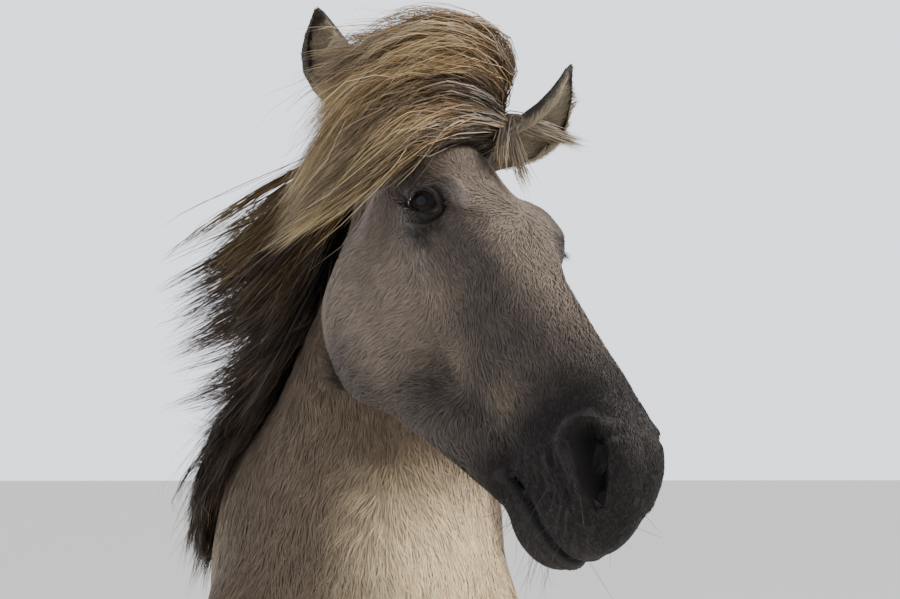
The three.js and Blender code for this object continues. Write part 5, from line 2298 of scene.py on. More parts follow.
@dataclass(frozen=True)
class Strands:
    """How a mass of long hair is drawn: how many, how wide, how clumped and how wavy."""

    count: int
    clumps: int
    rows: int = 10
    width: tuple[float, float] = (1.0, 2.2)
    gather: float = 0.7
    wave: float = 5.0
    frizz: float = 3.0
    fly: float = 0.05
    fly_reach: float = 26.0
    short: float = 0.7

    def draw(self, grid: GuideGrid, rng: Rng, spread: float) -> tuple[Array, Array, Array]:
        """Draws every strand's path.

        Args:
            grid: guides over two shares.
            rng: seeded draw.
            spread: how far a strand's first share strays from its clump's.

        Returns:
            Paths, and each strand's first share and clump.
        """
        clump_u = (np.arange(self.clumps) + rng.uniform(0, 1, self.clumps)) / self.clumps
        clump_v = rng.uniform(0, 1, self.clumps)
        clump = rng.integers(0, self.clumps, self.count)
        u = np.clip(clump_u[clump] + rng.normal(0, spread, self.count), 0, 1)
        v = np.clip(clump_v[clump] + rng.normal(0, 0.14, self.count), 0, 1)
        own, theirs = grid.at(u, v), grid.at(clump_u, clump_v)[clump]
        steps = root_to_tip(own.shape[1])
        control = mix(own, theirs, self.gather * steps**0.8)
        paths = spline_rows(control, self.rows)
        length = rng.uniform(self.short, 1.04, self.count) * (1 + 0.06 * rng.normal(size=self.clumps))[clump]
        paths = stretched(paths, length)
        t = root_to_tip(self.rows)
        sway = drift(rng, self.clumps)[clump] * self.wave * 1.6
        beat = rng.uniform(0.7, 1.5, (self.clumps, 1, 1))[clump]
        paths += sway * np.sin(2 * math.pi * (beat * t + rng.uniform(0, 1, (self.clumps, 1, 1))[clump])) * t
        ways = drift(rng, self.count)
        beat = rng.uniform(0.8, 2.2, (self.count, 1, 1))
        paths += ways * self.frizz * np.sin(2 * math.pi * (beat * t)) * t**0.5
        paths += drift(rng, self.count) * 2.0 * np.sqrt(t)
        loose = np.flatnonzero(rng.uniform(size=self.count) < self.fly)
        paths[loose] += drift(rng, len(loose)) * self.fly_reach * t**1.6
        return paths, u, clump

    def sizes(self, rng: Rng) -> Array:
        """A width for every strand."""
        return rng.uniform(*self.width, self.count)

    @staticmethod
    def pieces(name: str, parts: int, drawn: Sequence[Array], finish: Material) -> None:
        """Makes a mass of strands in several pieces.

        Args:
            name: the start of their names.
            parts: how many there are.
            drawn: the strands' paths, directions over them, widths and colours.
            finish: their material.
        """
        for k in range(parts):
            piece = blades(f"{name}_{k + 1}", *(rows[k::parts] for rows in drawn))
            finish_piece(piece, finish, COAT_SLOT)


@dataclass(frozen=True)
class LongHairTones:
    """Colours of the mane, forelock and tail, in screen values."""

    black: Triple = (34, 29, 28)
    dark: Triple = (54, 45, 40)
    brown: Triple = (98, 79, 61)
    gold: Triple = (158, 122, 78)
    blond: Triple = (190, 168, 126)
    cream: Triple = (216, 201, 168)
    ash: Triple = (142, 129, 113)

    def linear(self) -> dict[str, Array]:
        """Each tone as linear light."""
        return {name: linear(value) for name, value in vars(self).items()}


TONES = LongHairTones().linear()


def toned(t: Array, *stops: tuple) -> Array:
    """Colours along a ramp of the long hair's tones.

    Args:
        t: shares of the ramp.
        stops: each one's share, tone and, where it isn't 1, strength.

    Returns:
        The linear colours.
    """
    marks = [stop[0] for stop in stops]
    tones = np.array([TONES[stop[1]] * (stop[2] if len(stop) > 2 else 1.0) for stop in stops])
    return np.stack([np.interp(t, marks, tones[:, k]) for k in range(3)], axis=-1)


def kinds(rng: Rng, clump: Array, own: float) -> Array:
    """Which kind of hair each strand is, from 0 to 1.

    Args:
        rng: seeded draw.
        clump: each strand's clump.
        own: how much the strand's own draw counts, beside its clump's.

    Returns:
        The kinds.
    """
    return rng.uniform(size=clump.max() + 1)[clump] * (1 - own) + rng.uniform(size=len(clump)) * own


def varied(rng: Rng, colours: Array, reach: float) -> Array:
    """Colours of many paths, each made a little lighter or darker."""
    return colours * rng.uniform(1 - reach, 1 + reach, (len(colours), 1, 1))


@dataclass
class Mane:
    """The mane: rooted along the crest, blown over the horse's right side."""

    strands: Strands = Strands(15500, 210, width=(0.9, 2.1), gather=0.74, wave=7, frizz=4)
    seed: int = 31
    knots: tuple[int, int] = (26, 5)
    fall: Path = ((-326, 176, -104), (-312, 110, -162), (-274, 20, -245), (-225, -32, -304))
    fall_close: Path = ((-150, 130, -230), (-165, 80, -290), (-190, 20, -330), (-190, -20, -345))
    overreach: float = 14.0
    bends: tuple[Triple, ...] = (
        (0.7, 0.06, 0.05),
        (1.0, 0.26, 0.15),
        (0.6, 0.54, 0.2),
        (0.2, 0.8, 0.12),
        (0.0, 1.0, 0.0),
    )
    parts: int = 2

    def guide(self, crest: Crest, s: Array, lift: Array) -> Array:
        """Hair paths from shares along the crest and how high they lie over the neck.

        Args:
            crest: the line it is rooted along.
            s: shares along it, the poll first.
            lift: from 0, close to the neck, to 1.

        Returns:
            The paths.
        """
        place = crest.at(s)
        w = lift[:, None]
        far = mix(through(np.array(self.fall_close), s), through(np.array(self.fall), s), w)
        start = place["point"] + place["side"] * mix(12.0, -9.0, w)
        rise = (9 + 14 * lift + 42 * lift * (1 - step(s, 0.04, 0.22)))[:, None]
        parts = [start - place["up"] * 16]
        bend = step(s, 0.08, 0.45)[:, None]
        for up, out, drop in self.bends:
            across = far * (out - 0.55 * drop * bend)
            parts.append(start + place["up"] * rise * up + across + far * np.array([0, 0, 1.1]) * drop * bend)
        path = np.stack(parts, axis=1)
        gap = mix(6.0, 44.0, lift)
        for k in range(1, 6):
            path[:, k] = clear_of(head_and_body, path[:, k], gap * min(1.0, 0.2 + 0.3 * k), 5)
        return path

    def tint(self, u: Array, clump: Array, rng: Rng) -> Array:
        """Linear colours along every strand.

        Args:
            u: each strand's first share.
            clump: each strand's clump.
            rng: seeded draw.

        Returns:
            The colours, one row for each row of the strand.
        """
        t = uneven(rng, len(u), self.strands.rows, 0.06)
        poll = (1 - step(u, 0.0, 0.09))[:, None, None]
        warm = toned(t, (0, "dark"), (0.35, "brown"), (0.7, "gold", 0.8), (1, "blond", 0.8))
        dark = toned(t, (0, "black"), (0.6, "black"), (0.85, "dark"), (1, "brown"))
        pale = toned(t, (0, "black"), (0.45, "dark"), (0.7, "brown"), (0.85, "ash"), (1, "blond"))
        share = step(kinds(rng, clump, 0.4), 0.72, 0.88)[:, None, None]
        return varied(rng, mix(mix(dark, warm, poll * 0.7), pale, share * 0.7), 0.25)

    def build(self, finish: Material) -> None:
        """Makes the mane's pieces.

        Args:
            finish: its material.
        """
        crest = Crest()
        crest.build()
        rng = np.random.default_rng(self.seed)
        grid = guides_over(*self.knots, lambda s, lift: self.guide(crest, s, lift))
        paths, u, clump = self.strands.draw(grid, rng, 0.012)
        paths[..., 0] = held_in(paths[..., 0], from_row(np.array(CAD_BOX[0]))[0] - self.overreach)
        sides = crest.at(u)["back"][:, None] * np.ones((1, self.strands.rows, 1))
        across = rolled(paths, sides, rng.normal(0, 0.6, self.strands.count))
        colours = self.tint(u, clump, rng)
        self.strands.pieces("mane", self.parts, (paths, across, self.strands.sizes(rng), colours), finish)


@dataclass
class Forelock:
    """The forelock: gathered by the left ear, standing in the wind and sweeping over the right brow."""

    strands: Strands = Strands(15500, 170, width=(0.7, 1.7), gather=0.66, frizz=4, fly_reach=22)
    seed: int = 47
    knots: tuple[int, int] = (14, 4)
    guides: tuple[Path, ...] = (
        ((-14, 48, 44), (-8, 54, 104), (-5, -4, 140), (-5, -74, 130), (2, -133, 106), (12, -172, 66)),
        ((4, 56, 44), (6, 42, 92), (15, -29, 116), (22, -101, 98), (32, -150, 48), (46, -178, -18)),
        ((22, 64, 42), (32, 0, 70), (48, -82, 64), (66, -130, 18), (78, -152, -52), (88, -164, -124)),
        ((40, 66, 34), (52, 26, 34), (82, -44, 20), (110, -96, -14), (122, -134, -62), (118, -178, -122)),
    )
    root_high: Triple = (-18, 28, -16)
    root_low: Triple = (40, 42, -14)
    wisps: tuple[Path, ...] = (
        ((26, 44, -14), (18, 62, 42), (44, 50, 40), (78, 32, 32), (112, 14, 26), (139, 2, 24)),
        ((26, 44, -14), (18, 62, 42), (50, 58, 38), (96, 42, 32), (146, 26, 28), (190, 12, 26)),
        ((26, 44, -14), (14, 66, 40), (24, 104, 50), (24, 154, 52), (14, 214, 54)),
    )
    wisp_strands: tuple[int, ...] = (220, 150, 420)
    parts: int = 2

    def guide(self, u: Array, v: Array) -> Array:
        """Hair paths from shares down the fan, 0 highest, and through its depth, 1 outermost.

        Args:
            u: shares down the fan.
            v: shares through its depth.

        Returns:
            The paths.
        """
        share = mix(0.5, 1.0, v)
        root = mix(np.array(self.root_high, float), np.array(self.root_low, float), u[:, None])
        root[:, 1] -= (1 - share) * 50
        parts = [root]
        for k in range(6):
            spot = through(np.array([row[k] for row in self.guides]), u)
            spot[:, 1] -= (1 - share) * 40
            spot[:, 2] = np.where(spot[:, 2] > 0, spot[:, 2] * share, spot[:, 2])
            parts.append(spot)
        path = np.stack([HEAD.out(part) for part in parts], axis=1)
        for k in range(1, 7):
            path[:, k] = clear_of(head_and_body, path[:, k], 6 + 8 * v, 5)
        return path

    def tint(self, u: Array, clump: Array, rng: Rng) -> Array:
        """Linear colours along every strand.

        Args:
            u: each strand's first share.
            clump: each strand's clump.
            rng: seeded draw.

        Returns:
            The colours, one row for each row of the strand.
        """
        t = uneven(rng, len(u), self.strands.rows, 0.07)
        high = toned(t, (0, "ash", 0.7), (0.12, "ash", 1.8), (0.45, "ash", 1.8), (0.65, "gold"), (1, "ash"))
        middle = toned(t, (0, "dark"), (0.2, "ash", 0.6), (0.45, "brown"), (0.62, "gold"), (1, "blond"))
        low = toned(t, (0, "ash"), (0.3, "ash", 1.1), (0.6, "gold"), (0.8, "blond"), (1, "blond"))
        dark = toned(t, (0, "black"), (0.6, "dark"), (1, "brown"))
        pale = toned(t, (0, "ash"), (0.5, "blond"), (1, "cream"))
        kind = kinds(rng, clump, 0.3)
        layers = (
            (middle, step(u, 0.08, 0.32)),
            (low, step(u, 0.6, 0.9)),
            (dark, (1 - step(kind, 0.32, 0.5)) * step(u, 0.04, 0.2) * 0.92),
            (dark, bump(u - 0.7 + 0.06 * (kind - 0.5), 0.11) * 0.75),
            (pale, step(kind, 0.72, 0.88) * 0.6),
        )
        colour = laid(high, *((tone, share[:, None, None]) for tone, share in layers))
        return varied(rng, 1.15 * colour, 0.25)

    def build(self, finish: Material) -> None:
        """Makes the forelock's pieces and the wisps at its root.

        Args:
            finish: its material.
        """
        rng = np.random.default_rng(self.seed)
        grid = guides_over(*self.knots, self.guide)
        paths, u, clump = self.strands.draw(grid, rng, 0.025)
        flat = HEAD.turn(np.array([1.0, 0.1, -0.35]))
        across = rolled(paths, np.broadcast_to(flat, paths.shape), rng.normal(0, 0.6, self.strands.count))
        colours = self.tint(u, clump, rng)
        self.strands.pieces("forelock", self.parts, (paths, across, self.strands.sizes(rng), colours), finish)
        self.wisp_piece(finish)

    def wisp_piece(self, finish: Material) -> None:
        """Makes the short locks at the whorl.

        Args:
            finish: its material.
        """
        rng = np.random.default_rng(self.seed + 1)
        bundles = []
        for wisp, count in zip(self.wisps, self.wisp_strands):
            line = HEAD.out(np.array(wisp, float))
            line[1:] = clear_of(head_and_body, line[1:], np.full(len(line) - 1, 5.0), 4)
            rows = spline_rows(np.repeat(line[None], count, axis=0), 9)
            t = root_to_tip(9)
            rows = stretched(rows, rng.uniform(0.55, 1.0, count))
            rows += drift(rng, count) * 5 * (1 - 0.5 * t)
            rows += drift(rng, count) * 5 * t**2
            bundles.append(rows)
        paths = np.concatenate(bundles)
        across = turned_any_way(rng, paths)
        t = uneven(rng, len(paths), 9, 0.1)
        colours = toned(t, (0, "dark"), (0.35, "ash", 0.7), (0.8, "ash"), (1, "blond"))
        colours = varied(rng, colours, 0.3)
        piece = blades("forelock_wisps", paths, across, rng.uniform(0.9, 1.8, len(paths)), colours)
        finish_piece(piece, finish, COAT_SLOT)


@dataclass
class Tail:
    """The tail's hair: thick from the dock down to the hocks."""

    strands: int = 9000
    clumps: int = 110
    rows: int = 10
    seed: int = 59
    guides: tuple[Triple, ...] = ((0.04, 30, 0), (0.28, 22, 22), (0.52, 22, 30), (0.78, 18, 24), (1.0, 8, 12))

    def hang(self, start: Array, out: Array, at: Array, clump: Array, rng: Rng) -> Array:
        """Hangs the strands from their roots.

        Args:
            start: the roots.
            out: the way out of the dock at each root.
            at: each root's share of the dock.
            clump: each strand's clump.
            rng: seeded draw.

        Returns:
            The paths.
        """
        count, clumps = self.strands, self.clumps
        spread = mix(2.3, 1.2, at)
        tip = mix(440.0, 190.0, step(at, 0.2, 0.8))
        tip = tip + rng.normal(0, 34, clumps)[clump] + rng.normal(0, 18, count)
        drop = start[:, 2] - tip
        lift = rng.uniform(0.4, 1.1, clumps)[clump] * rng.uniform(0.85, 1.05, count)
        sway = np.array([-18.0, 22.0, 0.0]) + rng.normal(0, 9, (clumps, 3))[clump] * np.array([1, 1, 0])
        parts = [start]
        for share, wide, more in self.guides:
            spot = start + out * ((wide + more * spread) * lift)[:, None] + sway * share
            spot[:, 2] = start[:, 2] - drop * share
            parts.append(clear_of(Flesh.torso, spot, np.full(count, 10.0), 2))
        paths = spline_rows(np.stack(parts, axis=1), self.rows)
        t = root_to_tip(self.rows)
        beat = rng.uniform(0.8, 1.8, (clumps, 1, 1))[clump]
        paths += drift(rng, clumps)[clump] * 7 * np.sin(2 * math.pi * beat * t) * t**0.5
        paths += drift(rng, count) * 8 * t**1.4
        paths[..., 2] = np.maximum(paths[..., 2], 20)
        return paths

    def tint(self, edge: Array, clump: Array, rng: Rng) -> Array:
        """Linear colours along every strand.

        Args:
            edge: how much each strand lies at the tail's pale edges.
            clump: each strand's clump.
            rng: seeded draw.

        Returns:
            The colours, one row for each row of the strand.
        """
        shade = uneven(rng, self.strands, self.rows, 0.1)
        dark = toned(shade, (0, "brown"), (0.3, "dark"), (0.8, "dark"), (1, "brown"))
        pale = toned(shade, (0, "gold"), (0.6, "blond"), (1, "gold"))
        share = np.clip(step(kinds(rng, clump, 0.4), 0.68, 0.86) + 0.6 * edge, 0, 1)
        return varied(rng, mix(dark, pale, share[:, None, None] * 0.7), 0.3)

    def build(self, finish: Material) -> None:
        """Makes the tail's piece.

        Args:
            finish: its material.
        """
        rng = np.random.default_rng(self.seed)
        count = self.strands
        clump = rng.integers(0, self.clumps, count)
        clump_at = rng.uniform(0.2, 0.98, self.clumps)
        at = np.clip(clump_at[clump] + rng.normal(0, 0.03, count), 0.1, 0.99)
        angle = np.radians(rng.uniform(-46, 226, self.clumps)[clump] + rng.normal(0, 9, count))
        root = through(DOCK_PATH, at)
        ahead = unit(through(DOCK_PATH, np.minimum(at + 0.01, 1)) - through(DOCK_PATH, at - 0.01))
        side = np.broadcast_to(np.array([1.0, 0, 0]), root.shape)
        back = unit(np.cross(side, ahead))
        out = side * np.cos(angle)[:, None] + back * np.sin(angle)[:, None]
        radius = np.interp(at, np.linspace(0, 1, len(DOCK_RADII)), DOCK_RADII)
        start = root + out * (radius - 9)[:, None]
        out = out * np.array([1.0, 0.62, 0.0])
        paths = self.hang(start, out, at, clump, rng)
        level = np.cross(out, [0, 0, 1.0])[:, None] * np.ones((1, self.rows, 1))
        across = rolled(paths, level, rng.normal(0, 0.7, count))
        edge = step(np.abs(np.cos(angle)), 0.5, 0.95) * (1 - step(at, 0.3, 0.6))
        colours = self.tint(edge, clump, rng)
        piece = blades("tail_hair", paths, across, rng.uniform(1.8, 3.6, count), colours)
        finish_piece(piece, finish, COAT_SLOT)


@dataclass
class Feathers:
    """Long hair behind each fetlock."""

    strands: int = 700
    rows: int = 7
    seed: int = 67
    guides: tuple[Triple, ...] = ((0.0, 30, 0), (0.22, 44, 0), (0.55, 55, -2), (1.0, 46, -10))

    def build(self, finish: Material) -> None:
        """Makes one piece of hair for all four fetlocks.

        Args:
            finish: its material.
        """
        rng = np.random.default_rng(self.seed)
        bundles = []
        for leg in LEGS:
            count = self.strands
            angle = np.radians(rng.uniform(-78, 78, count))
            out = np.column_stack([np.sin(angle) * leg.side.value, np.cos(angle), np.zeros(count)])
            back = leg.heel + float(leg.step_at(200.0))
            top = np.full((count, 3), (133.0 * leg.side.value, back, 0.0))
            top[:, 2] = rng.uniform(186, 236, count)
            drop = top[:, 2] - rng.uniform(88, 132, count)
            parts = []
            for share, reach, lead in self.guides:
                far = (reach * rng.uniform(0.9, 1.03, count))[:, None]
                spot = top + out * far + np.array([0.0, lead, 0.0])
                spot[:, 2] = top[:, 2] - drop * share
                parts.append(spot)
            rows = spline_rows(np.stack(parts, axis=1), self.rows)
            bundles.append(rows + drift(rng, count) * 5 * root_to_tip(self.rows))
        paths = np.concatenate(bundles)
        across = turned_any_way(rng, paths)
        shade = uneven(rng, len(paths), self.rows, 0.1)
        colours = varied(rng, toned(shade, (0, "brown"), (0.6, "dark"), (1, "brown")), 0.3)
        piece = blades("fetlock_hair", paths, across, rng.uniform(1.6, 3.0, len(paths)), colours)
        finish_piece(piece, finish, COAT_SLOT)


# The short coat


class Zone(Enum):
    """The parts of the body that the coat is laid on in turn."""

    HEAD = 0
    NECK = 1
    TRUNK = 2
    LEGS = 3


@dataclass(frozen=True)
class CoatPatch:
    """The coat of one part of the body: how many tufts and which places it covers."""

    name: str
    tufts: int
    covers: Callable[[Array], Array]


@dataclass
class Coat:
    """Thin overlapping tufts over the whole skin, which follow the lie of the hair."""

    skin: Skin
    ears: tuple[EarShell, ...]
    rows: int = 3
    seed: int = 71
    swirl: Ripple = field(default_factory=lambda: Ripple(21, 120))
    ruffle: Ripple = field(default_factory=lambda: Ripple(22, 26))
    length_noise: Ripple = field(default_factory=lambda: Ripple(23, 60))

    @staticmethod
    def on_head(p: Array) -> Array:
        """Whether places belong to the head."""
        return Flesh.head(p) < Flesh.body(p) + 10

    def on_ear(self, p: Array) -> Array:
        """Whether places are on an ear above its root."""
        return np.any([shell.height(p, 0.16, 50)[1] for shell in self.ears], axis=0)

    def lie(self, p: Array, normal: Array) -> Array:
        """The way the hair lies at places of the skin, along the surface.

        Args:
            p: points in the horse's frame, one a row.
            normal: the skin's normal at each point.

        Returns:
            Unit vectors.
        """
        q = HEAD.into(p)
        a, b, c = q.T
        side = np.sign(b)
        ones, zeros = np.ones(len(p)), np.zeros(len(p))
        down_face = np.column_stack([ones, zeros, -0.25 * ones])
        brow = np.column_stack([(a - 217) / 60, (b + 4) / 42, zeros])
        cheek = np.column_stack([-0.35 * ones, zeros, -ones])
        muzzle = np.column_stack([ones, 0.1 * side, -0.45 * ones])
        on_brow = step(c, -46, -6) * (1 - step(a, 236, 290))
        on_cheek = step(-c, 62, 128) * (1 - step(a, 300, 400))
        on_muzzle = step(a, 400, 460)
        head = laid(
            down_face,
            (unit(brow), on_brow[:, None]),
            (cheek, on_cheek[:, None]),
            (muzzle, on_muzzle[:, None]),
        )
        head = HEAD.turn(unit(head))
        x, y, z = p.T
        trunk = np.column_stack([0.12 * np.sign(x), 0.9 * ones, -0.5 * ones])
        neck = np.column_stack([0.1 * np.sign(x), 0.3 * ones, -ones])
        chest = np.column_stack([0.15 * np.sign(x), 0.1 * ones, -ones])
        leg = np.column_stack([zeros, 0.12 * ones, -ones])
        body = laid(
            trunk,
            (neck, step(-y, 380, 560)[:, None]),
            (chest, (step(-y, 480, 600) * step(-z, -1200, -1080))[:, None]),
            (leg, step(-z, -860, -700)[:, None]),
        )
        way = np.where(self.on_head(p)[:, None], head, unit(body))
        for shell in self.ears:
            _, here = shell.height(p, 0.12, 52)
            up = shell.axes()[1]
            way[here] = up / np.linalg.norm(up)
        turn = 0.3 * self.swirl.at(p) + 0.34 * self.ruffle.at(p)
        flat = unit(way - normal * np.sum(way * normal, axis=1, keepdims=True))
        return flat * np.cos(turn)[:, None] + np.cross(normal, flat) * np.sin(turn)[:, None]

    def sizes(self, p: Array, normal: Array) -> tuple[Array, Array, Array]:
        """Length, width and standing height of the tufts at places of the skin.

        Args:
            p: points in the horse's frame, one a row.
            normal: the skin's normal at each point.

        Returns:
            The three, in millimetres.
        """
        q = HEAD.half(p)
        a, _, c = q.T
        head = self.on_head(p)
        to_eye = np.linalg.norm(q - np.array(FACE.eye), axis=1)
        length = laid(
            15.0,
            (30.0, step(-c, 110, 210) * (1 - step(a, 250, 400))),
            (42.0, step(-c, 220, 280) * (1 - step(a, 200, 300))),
            (11.0, step(c, -40, 0)),
            (4.6, step(a, 396, 466)),
            (3.0, bump(FACE.above_mouth(a, c), 14) * step(a, 430, 450)),
            (4.4, 1 - step(to_eye, 34, 62)),
        )
        width = mix(1.25, 0.85, step(a, 380, 460)) * mix(0.75, 1.0, step(to_eye, 34, 60))
        width = mix(width, 1.45, step(-c, 120, 220) * (1 - step(a, 260, 400)))
        height = np.minimum(length * 0.13, 3.2)
        y, z = p[:, 1], p[:, 2]
        neck, leg, foot = step(-y, 400, 560), step(-z, -820, -600), step(-z, -420, -220)
        chest = neck * step(-z, -1290, -1150) * step(z, 780, 900)
        belly = step(-z, -900, -780) * (1 - neck)
        body_length = laid(46.0, (38.0, neck), (50.0, chest), (58.0, belly), (27.0, leg), (17.0, foot))
        body_width = laid(4.2, (1.8, neck), (2.5, leg), (2.0, foot))
        body_height = laid(5.5, (3.0, neck), (4.0, leg), (2.4, foot))
        length, width = np.where(head, length, body_length), np.where(head, width, body_width)
        height = np.where(head, height, body_height)
        ear = self.on_ear(p)
        inside = np.zeros(len(p), bool)
        for shell in self.ears:
            inside |= shell.height(p, 0.16, 50)[1] & (normal @ shell.axes()[2] > 0.15)
        edge = np.max([shell.rim(p) for shell in self.ears], axis=0)
        length = np.where(ear, mix(np.where(inside, 15.0, 6.5), 4.0, edge), length)
        width = np.where(ear, 0.9, width)
        height = np.where(ear, mix(np.where(inside, 3.2, 0.8), 0.5, edge), height)
        return length * (1 + 0.16 * self.length_noise.at(p)), width, height

    def roots(self, patch: CoatPatch, rng: Rng) -> tuple[Array, Array]:
        """Draws a patch's roots evenly over the skin.

        Args:
            patch: the patch.
            rng: seeded draw.

        Returns:
            Places and the skin's normals there.
        """
        corner = self.skin.points[self.skin.triangles]
        middle = corner.mean(axis=1)
        face = np.cross(corner[:, 1] - corner[:, 0], corner[:, 2] - corner[:, 0])
        area = np.linalg.norm(face, axis=1) / 2
        share = area * patch.covers(middle)
        pick = rng.choice(len(area), patch.tufts, p=share / share.sum())
        r1, r2 = np.sqrt(rng.uniform(size=patch.tufts)), rng.uniform(size=patch.tufts)
        weights = np.stack([1 - r1, r1 * (1 - r2), r1 * r2], axis=1)
        spot = np.einsum("nk,nkd->nd", weights, corner[pick])
        near = np.einsum("nk,nkd->nd", weights, self.skin.normals[self.skin.triangles[pick]])
        return spot, unit(near)

    def build_patch(self, patch: CoatPatch, finish: Material, rng: Rng) -> None:
        """Makes one piece of coat.

        Args:
            patch: the patch.
            finish: its material.
            rng: seeded draw.
        """
        root, normal = self.roots(patch, rng)
        keep = face_clear(root)
        root, normal = root[keep], normal[keep]
        count = len(root)
        length, width, height = self.sizes(root, normal)
        length = length * rng.uniform(0.65, 1.2, count)
        height = height * rng.uniform(0.35, 1.25, count)
        way = self.lie(root, normal)
        stray = rng.normal(0, 0.16, count)
        way = way * np.cos(stray)[:, None] + np.cross(normal, way) * np.sin(stray)[:, None]
        t = np.linspace(0, 1, self.rows)
        rise = np.interp(t, (0, 0.35, 0.7, 1.0), (-0.12, 0.7, 1.0, 0.92))
        across = np.cross(normal, way)[:, None]
        bend = (length * rng.normal(0, 0.07, count))[:, None, None]
        paths = root[:, None] + way[:, None] * (length[:, None] * t)[..., None]
        paths += normal[:, None] * (height[:, None] * rise)[..., None]
        paths += across * bend * (t**2)[None, :, None]
        ear = self.on_ear(root)
        base = Flesh.whole(root)
        for k in range(1, self.rows):
            off = Flesh.whole(paths[:, k]) - base - height * rise[k]
            off = np.where(ear, 0.0, np.clip(off, -12, 12))
            paths[:, k] -= normal * off[:, None]
        across = rolled(paths, across * np.ones((1, self.rows, 1)), rng.normal(0, 0.12, count))
        tone = self.ear_tone(root, normal, MARKINGS.coat(root))
        tone = tone * (1 + 0.12 * rng.normal(size=count)).clip(0.6, 1.5)[:, None]
        shade = np.interp(t, (0, 0.5, 1), (0.84, 1.0, 1.08))
        colours = np.clip(tone[:, None] * shade[None, :, None], 0.003, 1)
        piece = blades(f"coat_{patch.name}", paths, across, width * rng.uniform(0.7, 1.25, count), colours)
        finish_piece(piece, finish, COAT_SLOT)

    def ear_tone(self, p: Array, normal: Array, tone: Array) -> Array:
        """The coat's colours with the ears' own colours over them.

        Args:
            p: points in the horse's frame, one a row.
            normal: the skin's normal at each point.
            tone: the coat's colours there.

        Returns:
            The linear colours.
        """
        dun = MARKINGS.dun
        for shell in self.ears:
            t, here = shell.height(p, 0.1, 52)
            inside = step(normal @ shell.axes()[2], -0.1, 0.35) * step(t, 0.18, 0.3)
            rim = (linear(dun.ear_rim), (shell.rim(p) * 0.92)[:, None])
            colour = laid(linear(dun.ear_back), (linear(dun.ear_inside), inside[:, None]), rim)
            tone = mix(tone, colour, (here * step(t, 0.08, 0.2))[:, None])
        return tone

    def build(self, finish: Material) -> None:
        """Makes every piece of the coat.

        Args:
            finish: its material.
        """
        rng = np.random.default_rng(self.seed)

        def zone(p: Array) -> Array:
            """The zone of each place.

            Args:
                p: points in the horse's frame, one a row.

            Returns:
                The zones' numbers.
            """
            number = np.full(len(p), Zone.TRUNK.value)
            number[p[:, 1] < -430] = Zone.NECK.value
            number[p[:, 2] < 800] = Zone.LEGS.value
            number[self.on_head(p) | self.on_ear(p)] = Zone.HEAD.value
            return number

        def on_head(p: Array) -> Array:
            """Weight of the head's coat, denser on the face.

            Args:
                p: points in the horse's frame, one a row.

            Returns:
                The weights.
            """
            q = HEAD.into(p)
            dense = 1 + 1.2 * step(q[:, 0], 380, 450) + 0.6 * step(q[:, 2], -60, 0)
            return (zone(p) == Zone.HEAD.value) * dense

        def on_neck(p: Array) -> Array:
            """Weight of the neck's coat."""
            return (zone(p) == Zone.NECK.value) * 1.0

        patches = (
            CoatPatch("head_1", 54000, on_head),
            CoatPatch("head_2", 54000, on_head),
            CoatPatch("neck_1", 38000, on_neck),
            CoatPatch("neck_2", 38000, on_neck),
            CoatPatch("trunk", 38000, lambda p: (zone(p) == Zone.TRUNK.value) * 1.0),
            CoatPatch("legs", 32000, lambda p: (zone(p) == Zone.LEGS.value) * (p[:, 2] > 30) * 1.0),
        )
        for patch in patches:
            self.build_patch(patch, finish, rng)


def face_clear(p: Array) -> Array:
    """Whether places are clear of the eyes' openings, the nostrils' depths and the line of the mouth.

    Args:
        p: points in the horse's frame, one a row.

    Returns:
        True for each one that is.
    """
    q = HEAD.half(p)
    a, b, c = q.T
    local = FACE.from_eye(q)
    eye = (np.hypot(local[:, 0] / 28.0, local[:, 1] / 17.5) < 1) & (local[:, 2] > 0)
    nose = FACE.in_nostril(a, b, c) > 0.06
    mouth = (np.abs(FACE.above_mouth(a, c)) < 3.0) & (a > 444)
    return ~(eye | nose | mouth)


